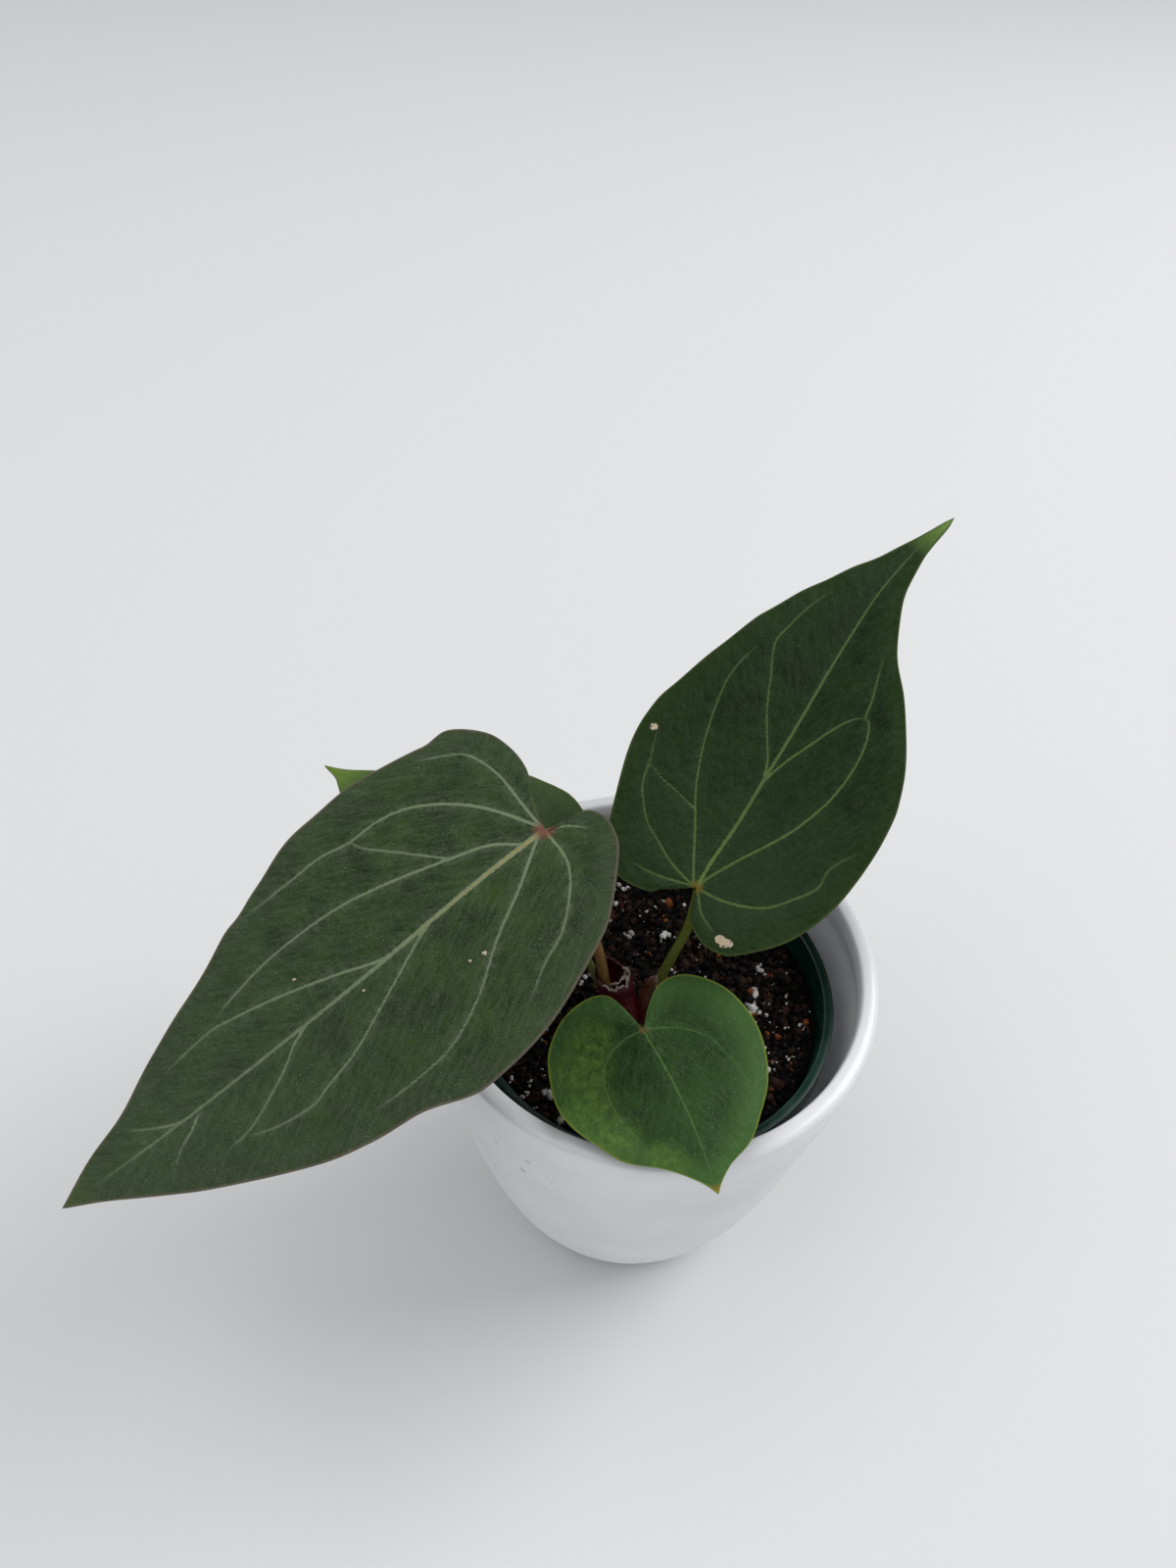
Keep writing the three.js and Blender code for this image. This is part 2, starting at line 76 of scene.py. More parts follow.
def linear(hex_colour):
    """An sRGB hex colour as linear red, green, blue and alpha."""
    channels = [int(hex_colour[i : i + 2], 16) / 255 for i in (1, 3, 5)]
    return [c / 12.92 if c <= 0.04045 else ((c + 0.055) / 1.055) ** 2.4 for c in channels] + [1]


def set_up(node, settings):
    """Sets a shader node's properties and inputs.

    An input given a node or an output is linked to it, and one given a hex colour takes its
    linear values. From and To hold both ends of a range, and stops a ramp's places and colours.
    """
    for key, value in settings.items():
        if key == "stops":
            ramp = node.color_ramp
            while len(ramp.elements) < len(value):
                ramp.elements.new(0.5)
            for element, (position, colour) in zip(ramp.elements, value):
                element.position = position
                element.color = linear(colour)
        elif key in ("From", "To"):
            for end, number in zip((" Min", " Max"), value):
                node.inputs[key + end].default_value = number
        elif isinstance(key, str) and key not in node.inputs:
            setattr(node, key, value)
        elif isinstance(value, (bpy.types.Node, bpy.types.NodeSocket)):
            source = value.outputs[0] if isinstance(value, bpy.types.Node) else value
            node.id_data.links.new(source, node.inputs[key])
        else:
            node.inputs[key].default_value = linear(value) if isinstance(value, str) else value
    return node


def add_node(material, kind, settings=None):
    """A shader node in a material, with its settings and links as set_up takes them."""
    return set_up(material.node_tree.nodes.new("ShaderNode" + kind), settings or {})


def new_material(name, finish):
    """A material and its surface shader, which is set up with a finish."""
    material = bpy.data.materials.new(name)
    material.use_nodes = True
    return material, set_up(material.node_tree.nodes["Principled BSDF"], finish)


def smooth_run(points, steps):
    """Points along a smooth curve through the given ones, steps for each stretch."""
    points = np.array(points, float)
    ends = np.vstack([2 * points[0] - points[1], points, 2 * points[-1] - points[-2]])
    a, b, c, d = (ends[i : i + len(points) - 1, None] for i in range(4))
    t = np.linspace(0, 1, steps, endpoint=False)[:, None]
    curve = 2 * b + (c - a) * t + (2 * a - 5 * b + 4 * c - d) * t**2
    run = 0.5 * (curve + (3 * b - a - 3 * c + d) * t**3)
    return np.vstack([run.reshape(-1, points.shape[1]), points[-1]])


def turned_piece(name, rings, sides):
    """A round piece: a disc at the first [radius, height] ring, drawn from ring to ring."""
    radius, height = rings[0]
    bpy.ops.object.select_all(action="DESELECT")
    bpy.ops.mesh.primitive_circle_add(
        vertices=sides, radius=radius * MM, fill_type="NGON", location=(0, 0, height * MM)
    )
    piece = bpy.context.object
    piece.name = piece.data.name = name
    bpy.ops.object.mode_set(mode="EDIT")
    for next_radius, next_height in rings[1:]:
        lift = (0, 0, (next_height - height) * MM)
        bpy.ops.mesh.extrude_region_move(TRANSFORM_OT_translate={"value": lift})
        scale = next_radius / radius
        bpy.ops.transform.resize(value=(scale, scale, 1), center_override=(0, 0, 0))
        radius, height = next_radius, next_height
    bpy.ops.mesh.select_all(action="SELECT")
    bpy.ops.mesh.normals_make_consistent(inside=False)
    bpy.ops.object.mode_set(mode="OBJECT")
    bpy.ops.object.transform_apply(location=True)
    bpy.ops.object.shade_smooth_by_angle(angle=math.radians(40))
    return piece


def settle(piece, slot, material, *nodes):
    """The piece rides on the part's one body, has its finish, and stands for the CAD nodes."""
    piece.data.materials.append(material)
    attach(piece, "root")
    if nodes:
        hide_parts(*nodes)


body_run = smooth_run(POT_BODY, 7)
lip_run = smooth_run([POT_BODY[-1], *POT_LIP, POT_LIP_END], 4)
low, high = POT_INSIDE
inside_run = [[r - POT_WALL, z] for r, z in body_run if low < z < high][::-1]
outer_pot = turned_piece(
    "outer_pot_shell", [*POT_BASE, *body_run[:-1], *lip_run, *inside_run, *POT_CORNER], POT_SIDES
)

# The wall lets a little light through, to a depth of 5 mm
satin_white, shader = new_material(
    "satin_white_polypropylene",
    {
        "IOR": 1.49, "Specular IOR Level": 0.5, "Subsurface Weight": 0.3,
        "Subsurface Scale": 0.005, "Subsurface Radius": (1, 1, 1),
    },
)
place = add_node(satin_white, "TexCoord").outputs["Object"]
# Cloudy handling marks about 25 mm across
clouds = add_node(satin_white, "TexNoise", {"Vector": place, "Scale": 40, "Detail": 4})
tone = add_node(satin_white, "ValToRGB", {"Fac": clouds, "stops": [(0.3, "#e9eaee"), (0.7, "#f3f4f7")]})
# Scuffs: dark hairlines, thickest round the place on the left front where the pot was knocked
turn = add_node(
    satin_white, "Mapping", {"Vector": place, "Rotation": (0.5, 0.35, 0.9), "Scale": (60, 900, 900)}
)
hairs = add_node(satin_white, "TexNoise", {"Vector": turn, "Scale": 1, "Detail": 2})
thin = add_node(satin_white, "MapRange", {"Value": hairs, "From": (0.66, 0.72)})
away = add_node(
    satin_white, "VectorMath", {"operation": "DISTANCE", 0: place, 1: (-0.034, -0.045, 0.088)}
).outputs["Value"]
near = add_node(satin_white, "MapRange", {"Value": away, "From": (0.012, 0.03), "To": (0.75, 0.04)})
scuff = add_node(satin_white, "Math", {"operation": "MULTIPLY", 0: thin, 1: near})
scuffed = add_node(satin_white, "MixRGB", {"Fac": scuff, "Color1": tone, "Color2": "#77756f"})
# The lip above 112 mm was polished, and the body below has a fine 0.4 mm grain
height = add_node(satin_white, "SeparateXYZ", {0: place}).outputs["Z"]
gloss = add_node(satin_white, "MapRange", {"Value": height, "From": (0.106, 0.113), "To": (0.4, 0.16)})
grain = add_node(satin_white, "TexNoise", {"Vector": place, "Scale": 2500, "Detail": 2})
grain_depth = add_node(
    satin_white, "MapRange", {"Value": height, "From": (0.105, 0.112), "To": (0.14, 0)}
)
bump = add_node(satin_white, "Bump", {"Height": grain, "Strength": grain_depth, "Distance": 0.0003})
set_up(shader, {"Base Color": scuffed, "Roughness": gloss, "Normal": bump})
settle(outer_pot, "white_pot", satin_white, "outer_pot")


# Nursery pot: a 4 inch grower's pot, blow moulded in thin dark green polypropylene, with a
# deep band round its rim and holes in its floor. It stands in the outer pot, and its foot
# rests on the leaning wall.
NURSERY_FLOOR_Z = 11.6
DRAIN_HOLES = 6
DRAIN_RING = 24
DRAIN_RADIUS = 3.5
# How much further out the band lies than on the CAD solid, to close the gap as on the real pot
BAND_SPREAD = 0.7

nursery_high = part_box("nursery_pot")[1]
band_radius = nursery_high.x / MM + BAND_SPREAD
nursery_top = nursery_high.z / MM
nursery_rings = [
    [0.6, 11.2], [18, 11.2], [18.6, 10.4], [31, 10.4], [31.6, 10], [37.4, 10], [38.2, 10.8],
    [49.3, nursery_top - 9.4], [49.5, nursery_top - 9], [band_radius - 0.4, nursery_top - 9],
    [band_radius, nursery_top - 8.6], [band_radius, nursery_top - 0.6],
    [band_radius - 0.25, nursery_top - 0.1], [band_radius - 0.8, nursery_top],
    [50.2, nursery_top - 0.1], [49.7, nursery_top - 0.5], [49.3, nursery_top - 3],
    [48.5, nursery_top - 9.6], [37.8, 13], [36.9, NURSERY_FLOOR_Z + 0.2],
    [35.8, NURSERY_FLOOR_Z], [0.6, NURSERY_FLOOR_Z],
]
nursery_pot = turned_piece("nursery_pot_shell", nursery_rings, POT_SIDES)
for step in range(DRAIN_HOLES):
    turn = step * 2 * math.pi / DRAIN_HOLES
    bpy.ops.mesh.primitive_cylinder_add(
        vertices=24,
        radius=DRAIN_RADIUS * MM,
        depth=6 * MM,
        location=(DRAIN_RING * MM * math.cos(turn), DRAIN_RING * MM * math.sin(turn), 11 * MM),
    )
    drill = bpy.context.object
    bpy.ops.object.select_all(action="DESELECT")
    bpy.context.view_layer.objects.active = nursery_pot
    cut = nursery_pot.modifiers.new("drain", "BOOLEAN")
    cut.operation = "DIFFERENCE"
    cut.object = drill
    bpy.ops.object.modifier_apply(modifier=cut.name)
    bpy.data.objects.remove(drill)

dark_green, shader = new_material("dark_green_polypropylene", {"IOR": 1.49})
place = add_node(dark_green, "TexCoord").outputs["Object"]
# Paler, duller slate-green in soft patches about 12 mm across
slate_patches = add_node(dark_green, "TexNoise", {"Vector": place, "Scale": 80, "Detail": 5})
greens = [(0.35, "#0e2d22"), (0.6, "#1a4236"), (0.8, "#3a574f")]
tone = add_node(dark_green, "ValToRGB", {"Fac": slate_patches, "stops": greens})
dull = add_node(dark_green, "MapRange", {"Value": slate_patches, "From": (0.3, 0.8), "To": (0.18, 0.38)})
# Faint rings 1.5 mm apart, as the drawn plastic keeps
waves = {"Vector": place, "bands_direction": "Z", "Scale": 200, "Distortion": 0.6, "Detail": 1}
rings = add_node(dark_green, "TexWave", waves).outputs["Fac"]
bump = add_node(dark_green, "Bump", {"Height": rings, "Distance": 0.0001, "Strength": 0.2})
set_up(shader, {"Base Color": tone, "Roughness": dull, "Normal": bump})
settle(nursery_pot, "green_pot", dark_green, "nursery_pot")


# Potting mix: damp peat crumbs with puffed white perlite, red-brown bark chips and root
# fibres. It fills the nursery pot to 8 mm under the rim and rises a little at the crown,
# which stands in a hole in it.
MIX_LEVEL = 97
MIX_RISE = 2
MIX_CRUMB = 0.9
MIX_GRAIN = 0.22
MIX_CELLS = 150
MIX_RADIUS = 48.2
MIX_FOOT_RADIUS = 36.4
MIX_FOOT_Z = 11.9
CROWN_PLACE = (-3.2, -11)
CROWN_RADIUS = 7.5
CROWN_BOTTOM = 76
CROWN_GAP = 1.2


def points_of(piece):
    """The piece's vertices as rows of x, y and z in millimetres."""
    points = np.empty(len(piece.data.vertices) * 3)
    piece.data.vertices.foreach_get("co", points)
    return points.reshape(-1, 3) / MM


def set_points(piece, points):
    """Moves the piece's vertices to rows of x, y and z in millimetres."""
    piece.data.vertices.foreach_set("co", (np.asarray(points) * MM).ravel())
    piece.data.update()


def set_attribute(piece, name, values, kind="FLOAT"):
    """Stores a number, or a vector, for each vertex, which the piece's material reads."""
    attribute = piece.data.attributes.new(name, kind, "POINT")
    key = "value" if kind == "FLOAT" else "vector"
    attribute.data.foreach_set(key, np.asarray(values, float).ravel())


def new_grid(name, columns, rows):
    """A flat grid of vertices, and how far across and along each lies, both from -1 to 1."""
    bpy.ops.object.select_all(action="DESELECT")
    bpy.ops.mesh.primitive_grid_add(x_subdivisions=columns, y_subdivisions=rows, size=2)
    piece = bpy.context.object
    piece.name = piece.data.name = name
    return piece, *points_of(piece)[:, :2].T * MM


def mix_height(x, y):
    """Height of the mix's top at a place: a low mound with crumbs."""
    away = np.hypot(x - CROWN_PLACE[0], y - CROWN_PLACE[1])
    mound = MIX_RISE * np.exp(-((away / 22) ** 2))
    crumbs = np.sin(x * 1.31 + 2 * np.sin(y * 0.47)) * np.cos(y * 1.17 + 1.6 * np.sin(x * 0.53))
    swell = np.sin(x * 0.13 + 1) * np.sin(y * 0.11 + 2)
    return MIX_LEVEL + mound + MIX_CRUMB * (crumbs + 0.5 * swell)


mix, across, along = new_grid("potting_mix_body", MIX_CELLS, MIX_CELLS)
# The square grid is rounded into a disc, square by square
wide = np.abs(across) > np.abs(along)
reach = np.where(wide, across, along)
safe = np.where(reach == 0, 1, reach)
turn = math.pi / 4 * np.where(wide, along / safe, 2 - across / safe)
mix_x = MIX_RADIUS * reach * np.cos(turn)
mix_y = MIX_RADIUS * reach * np.sin(turn)
from_crown = np.hypot(mix_x - CROWN_PLACE[0], mix_y - CROWN_PLACE[1])
mix_z = mix_height(mix_x, mix_y) + np.random.default_rng(5).normal(0, MIX_GRAIN, len(mix_x))
# The hole for the crown has a wall 0.7 mm wide
hole = np.clip((CROWN_RADIUS + CROWN_GAP - from_crown) / 0.7, 0, 1)
set_points(mix, np.column_stack([mix_x, mix_y, mix_z + (CROWN_BOTTOM - mix_z) * hole]))
bpy.ops.object.mode_set(mode="EDIT")
bpy.ops.mesh.select_all(action="DESELECT")
bpy.ops.mesh.select_non_manifold()
bpy.ops.mesh.extrude_region_move(TRANSFORM_OT_translate={"value": (0, 0, -MIX_LEVEL * MM / 2)})
foot = MIX_FOOT_RADIUS / MIX_RADIUS
bpy.ops.transform.resize(value=(foot, foot, 0), center_override=(0, 0, MIX_FOOT_Z * MM))
bpy.ops.mesh.edge_face_add()
bpy.ops.object.mode_set(mode="OBJECT")
bpy.ops.object.shade_smooth_by_angle(angle=math.radians(50))

peat, shader = new_material("damp_peat", {"Roughness": 0.85, "Specular IOR Level": 0.15})
place = add_node(peat, "TexCoord").outputs["Object"]
# Crumbs of about 1.2 mm, from black to dark brown
specks = add_node(peat, "TexVoronoi", {"Vector": place, "Scale": 800})
browns = [(0, "#040303"), (0.6, "#0a0706"), (0.88, "#15100d"), (1, "#281a14")]
tone = add_node(peat, "ValToRGB", {"Fac": specks.outputs["Color"], "stops": browns})
bump = add_node(peat, "Bump", {"Height": specks, "Distance": 0.0008, "Strength": 0.9})
set_up(shader, {"Base Color": tone, "Normal": bump})
settle(mix, "potting_mix", peat, "potting_mix")


def turned_ways(rng, count):
    """A random turn for each of many bits, as 3 x 3 matrices."""
    turns = rng.normal(size=(4, count))
    w, x, y, z = turns / np.linalg.norm(turns, axis=0)
    return np.array(
        [
            [1 - 2 * (y * y + z * z), 2 * (x * y - w * z), 2 * (x * z + w * y)],
            [2 * (x * y + w * z), 1 - 2 * (x * x + z * z), 2 * (y * z - w * x)],
            [2 * (x * z - w * y), 2 * (y * z + w * x), 1 - 2 * (x * x + y * y)],
        ]
    ).transpose(2, 0, 1)


def strewn_bits(name, seed, count, sizes, stretch, lumps, rise, clump=1):
    """Loose bits strewn over the mix: a ball copied in many sizes, each dented and turned.

    Sizes are the smallest and largest radius in millimetres, stretch the largest length as a
    share of the width, lumps how deep the dents are and rise how high a bit's middle stands
    over the mix, both as shares of its radius, and clump how many bits are stuck together.
    """
    bpy.ops.object.select_all(action="DESELECT")
    bpy.ops.mesh.primitive_ico_sphere_add(subdivisions=1, radius=MM)
    piece = bpy.context.object
    ball = points_of(piece)
    triangles = np.array([polygon.vertices[:] for polygon in piece.data.polygons])
    rng = np.random.default_rng(seed)
    away = (MIX_RADIUS - 1.5) * np.sqrt(rng.random(count))
    turn = 2 * math.pi * rng.random(count)
    x, y = away * np.cos(turn), away * np.sin(turn)
    size = sizes[0] * (sizes[1] / sizes[0]) ** (rng.random(count) ** 2)
    if clump > 1:
        first = np.arange(count) // clump * clump
        x = x[first] + 0.8 * size[first] * rng.normal(size=count)
        y = y[first] + 0.8 * size[first] * rng.normal(size=count)
        size = size[first] * rng.uniform(0.55, 1, count)
    form = 1 + (stretch - 1) * rng.random((count, 1, 3)) * [1, 0.35, 0]
    bits = ball * (1 + lumps * rng.uniform(-1, 1, (count, len(ball), 1)))
    bits = np.einsum("nij,nkj->nki", turned_ways(rng, count), bits * form * size[:, None, None])
    bits += np.stack([x, y, mix_height(x, y) + rise * size], axis=1)[:, None, :]
    clear = np.hypot(x - CROWN_PLACE[0], y - CROWN_PLACE[1]) > CROWN_RADIUS + 0.6 * size
    bits = bits[clear]
    faces = triangles + len(ball) * np.arange(len(bits))[:, None, None]
    mesh = bpy.data.meshes.new(name)
    mesh.from_pydata((bits.reshape(-1, 3) * MM).tolist(), [], faces.reshape(-1, 3).tolist())
    piece.data = mesh
    piece.name = name
    set_attribute(piece, "shade", np.repeat(rng.random(len(bits)), len(ball)))
    bpy.ops.object.shade_smooth_by_angle(angle=math.radians(75))
    return piece


def bit_material(name, stops, roughness, depth, width):
    """A rough matt finish: a colour for each bit, and dents of a depth and width in mm."""
    material, shader = new_material(name, {"Roughness": roughness, "Specular IOR Level": 0.2})
    place = add_node(material, "TexCoord").outputs["Object"]
    shade = add_node(material, "Attribute", {"attribute_name": "shade"}).outputs["Fac"]
    grain = add_node(material, "TexNoise", {"Vector": place, "Scale": 1000 / width})
    blend = add_node(material, "Math", {"operation": "MULTIPLY_ADD", 0: grain, 1: 0.45, 2: shade})
    tone = add_node(material, "ValToRGB", {"Fac": blend, "stops": stops})
    bump = add_node(material, "Bump", {"Height": grain, "Distance": depth * MM, "Strength": 0.8})
    set_up(shader, {"Base Color": tone, "Normal": bump})
    return material


# Crumbs of peat, near black and a little shiny with water
crumbs = strewn_bits(
    "peat_crumbs", seed=3, count=7000, sizes=(0.28, 1.2), stretch=2, lumps=0.35, rise=0.1
)
browns = [(0.2, "#050404"), (0.6, "#0e0a09"), (0.85, "#201613"), (1, "#3a261d")]
crumb = bit_material("peat_crumb", browns, roughness=0.8, depth=0.2, width=0.5)
settle(crumbs, "potting_mix", crumb)

# Chips of composted bark, red-brown
bark_chips = strewn_bits(
    "bark_chips", seed=17, count=320, sizes=(0.25, 1.3), stretch=2.2, lumps=0.3, rise=0.15
)
russets = [(0.2, "#22100b"), (0.6, "#3c1c12"), (0.85, "#6b3520"), (1, "#94532f")]
bark = bit_material("composted_bark", russets, roughness=0.75, depth=0.2, width=0.6)
settle(bark_chips, "potting_mix", bark)

# Grains of perlite, a puffed white glass that breaks up into clumps of small grains
perlite_grains = strewn_bits(
    "perlite_grains", seed=23, count=1800, sizes=(0.17, 1.25), stretch=1.5, lumps=0.2, rise=0.4, clump=4
)
whites = [(0.1, "#a39a90"), (0.4, "#ccc7c0"), (0.8, "#e6e3de"), (1, "#f6f5f3")]
perlite = bit_material("expanded_perlite", whites, roughness=0.9, depth=0.25, width=0.4)
settle(perlite_grains, "potting_mix", perlite)


# Root fibres, dark brown to tan, each a thin thread of six knots that lies over the crumbs
FIBRES = 110
FIBRE_RADIUS = 0.16


def tubes(name, runs, roundness):
    """Tubes, each along a smooth run of knots: x, y, z and radius in millimetres."""
    bpy.ops.object.select_all(action="DESELECT")
    bpy.ops.curve.primitive_bezier_curve_add()
    curve = bpy.context.object.data
    curve.splines.clear()
    for run in runs:
        line = curve.splines.new("BEZIER")
        line.bezier_points.add(len(run) - 1)
        for knot, (*spot, radius) in zip(line.bezier_points, run):
            knot.co = Vector(spot) * MM
            knot.handle_left_type = knot.handle_right_type = "AUTO"
            knot.radius = radius
    curve.dimensions = "3D"
    curve.bevel_depth = MM
    curve.bevel_resolution = roundness
    curve.resolution_u = 3
    curve.use_fill_caps = True
    bpy.ops.object.convert(target="MESH")
    piece = bpy.context.object
    piece.name = piece.data.name = name
    return piece


rng = np.random.default_rng(41)
threads = []
for _ in range(FIBRES):
    away = (MIX_RADIUS - 8) * math.sqrt(rng.random())
    turn = 2 * math.pi * rng.random()
    x, y = away * math.cos(turn), away * math.sin(turn)
    heading = 2 * math.pi * rng.random()
    bend = rng.uniform(-0.5, 0.5)
    step = rng.uniform(0.8, 2.2)
    thickness = rng.uniform(0.4, 1.2)
    thread = []
    for i in range(6):
        z = mix_height(x, y) + rng.uniform(0.1, 0.9)
        thread.append((x, y, z, FIBRE_RADIUS * thickness * (1 - 0.12 * i)))
        heading += bend + rng.uniform(-0.35, 0.35)
        x += step * math.cos(heading)
        y += step * math.sin(heading)
    threads.append(thread)
fibres = tubes("root_fibres", threads, roundness=0)
# Eight neighbouring vertices share a tone
corners = len(fibres.data.vertices)
set_attribute(fibres, "shade", np.repeat(rng.random(corners // 8 + 1), 8)[:corners])
tans = [(0.2, "#1c120e"), (0.7, "#3b281e"), (1, "#7a6250")]
fibre = bit_material("root_fibre", tans, roughness=0.7, depth=0.1, width=0.8)
settle(fibres, "potting_mix", fibre)


# Crown: the short fleshy stem at the foot of the plant, ringed by the scars of old leaves. It
# is rooted in the potting mix, and all four stalks grow out of its top.
CROWN_RINGS = [
    [0.4, 76], [5.2, 76.1], [6.8, 77.5], [7.4, 82], [7.5, 92], [7.3, 96], [7.5, 97.3], [7, 98.2],
    [7.1, 99.3], [6.5, 100.1], [6.5, 101], [5.6, 101.8], [4.6, 102.6], [2.4, 102.9], [0.4, 103],
]

crown = turned_piece("crown_stem", smooth_run(CROWN_RINGS, 3), sides=48)
bpy.ops.transform.translate(value=(CROWN_PLACE[0] * MM, CROWN_PLACE[1] * MM, 0))
bpy.ops.object.transform_apply(location=True)

crown_skin, shader = new_material("brown_green_stem_skin", {"Roughness": 0.6})
place = add_node(crown_skin, "TexCoord").outputs["Object"]
# Corky flecks about 2 mm across, from dark brown to a dull green
fleck = add_node(crown_skin, "TexNoise", {"Vector": place, "Scale": 500, "Detail": 4})
barks = [(0.3, "#2a1c12"), (0.55, "#4a3a1f"), (0.75, "#6a5a33")]
tone = add_node(crown_skin, "ValToRGB", {"Fac": fleck, "stops": barks})
bump = add_node(crown_skin, "Bump", {"Height": fleck, "Distance": 0.0004, "Strength": 0.7})
set_up(shader, {"Base Color": tone, "Normal": bump})
settle(crown, "crown", crown_skin, "crown")


# Left leaf stalk: a round, smooth, fleshy petiole, brown-green with a few pale flecks. It
# grows from the crown and swells a little in the knuckle under its blade.
def reach_along(run):
    """How far along a run each of its points lies."""
    return np.concatenate([[0], np.cumsum(np.linalg.norm(np.diff(run, axis=0), axis=1))])


def stalk(name, path, root_radius, top_radius):
    """A round tapered stalk along a path, with a knuckle 4 mm long at its top."""
    run = smooth_run(path, 8)
    reach = reach_along(run)
    knuckle = 0.28 * np.exp(-(((reach[-1] - reach) / 4) ** 2))
    radius = root_radius + (top_radius - root_radius) * np.sqrt(reach / reach[-1]) + knuckle
    piece = tubes(name, [np.column_stack([run, radius])], roundness=6)
    bpy.ops.object.mode_set(mode="EDIT")
    bpy.ops.mesh.select_all(action="SELECT")
    bpy.ops.mesh.remove_doubles(threshold=0.002 * MM)
    bpy.ops.mesh.normals_make_consistent(inside=False)
    bpy.ops.object.mode_set(mode="OBJECT")
    bpy.ops.object.shade_smooth_by_angle(angle=math.radians(60))
    return piece


def stalk_skin(name, low, high, flecks):
    """Smooth fleshy skin that changes colour from the foot up, with fine lengthwise flecks."""
    material, shader = new_material(name, {"Roughness": 0.4})
    place = add_node(material, "TexCoord").outputs["Object"]
    height = add_node(material, "SeparateXYZ", {0: place}).outputs["Z"]
    rise = add_node(material, "MapRange", {"Value": height, "From": (0.1, 0.135)})
    ground = add_node(material, "MixRGB", {"Fac": rise, "Color1": low, "Color2": high})
    # Cells about 0.4 mm wide and 2 mm long
    long_cells = add_node(material, "Mapping", {"Vector": place, "Scale": (2400, 2400, 500)})
    streak = add_node(material, "TexNoise", {"Vector": long_cells, "Scale": 1, "Detail": 3})
    amount = add_node(material, "MapRange", {"Value": streak, "From": (0.5, 0.75), "To": (0, 0.5)})
    skin = add_node(material, "MixRGB", {"Fac": amount, "Color1": ground, "Color2": flecks})
    bump = add_node(material, "Bump", {"Height": streak, "Distance": 0.0001, "Strength": 0.5})
    set_up(shader, {"Base Color": skin, "Normal": bump})
    return material


stalk_left = stalk(
    "stalk_left_petiole",
    [
        [-6.2, -12, 98.2], [-8.8, -9.4, 107], [-12.6, -6.7, 115], [-15.4, -4.4, 127],
        [-21, -3.2, 144], [-32.7, -2.9, 168.4],
    ],
    root_radius=1.7,
    top_radius=1.3,
)
olive_skin = stalk_skin("olive_petiole_skin", low="#7a5a30", high="#96703e", flecks="#a08a58")
settle(stalk_left, "stalk_olive", olive_skin, "stalk_left")


# Right leaf stalk: a round fleshy petiole, darker where it leaves the brown sheath and
# yellow-green towards its blade.
stalk_right = stalk(
    "stalk_right_petiole",
    [[0.3, -9, 98.2], [1, -6, 111.5], [5.4, -0.8, 123], [8.3, 1.9, 132], [9.8, 4.8, 148.2]],
    root_radius=1.7,
    top_radius=1.2,
)
green_skin = stalk_skin("green_petiole_skin", low="#4b4a12", high="#64721f", flecks="#8f9247")
settle(stalk_right, "stalk_green", green_skin, "stalk_right")


# Front leaf stalk: a short thin fleshy petiole, as green as the right one. It leans forward out
# of the crown and carries the young blade, which hides it.
stalk_front = stalk(
    "stalk_front_petiole",
    [[-2, -15.3, 98.2], [-1.6, -18.5, 108], [-1.6, -24, 119], [-2.4, -31.4, 129.1]],
    root_radius=1.5,
    top_radius=0.9,
)
settle(stalk_front, "stalk_green", green_skin, "stalk_front")


# Back leaf stalk: a thin fleshy petiole, pale green. It grows from the left of the crown, leans
# back and to the left, and carries the back blade.
stalk_back = stalk(
    "stalk_back_petiole",
    [
        [-6.3, -6.6, 98.2], [-8.6, -5.8, 103.5], [-13.7, -3.6, 109], [-17.4, -0.3, 115],
        [-24.5, 6.5, 125], [-36, 18.8, 133],
    ],
    root_radius=1.4,
    top_radius=0.9,
)
pale_skin = stalk_skin("pale_petiole_skin", low="#74783a", high="#7c8844", flecks="#9ba068")
settle(stalk_back, "stalk_green", pale_skin, "stalk_back")


# Red sheath: a crimson scale leaf rolled round the foot of the left stalk, one margin over the
# other, open at the right where its point stands off the stalk. Its upper edge has torn and
# dried to white paper.
SHEATH_FOOT = 103.3
SHEATH_INSIDE = 1.9
SHEATH_THICKNESS = 0.5
SHEATH_LAP = 0.55


def unit(vectors):
    """Each row of vectors made one long."""
    return vectors / np.linalg.norm(vectors, axis=1)[:, None]


def thicken(piece, thickness, **settings):
    """Gives a sheet its thickness in millimetres, inwards from its face, and smooths it."""
    wall = piece.modifiers.new("thickness", "SOLIDIFY")
    wall.thickness = thickness * MM
    wall.offset = -1
    for key, value in settings.items():
        setattr(wall, key, value)
    bpy.ops.object.modifier_apply(modifier=wall.name)
    bpy.ops.object.shade_smooth_by_angle(angle=math.radians(60))


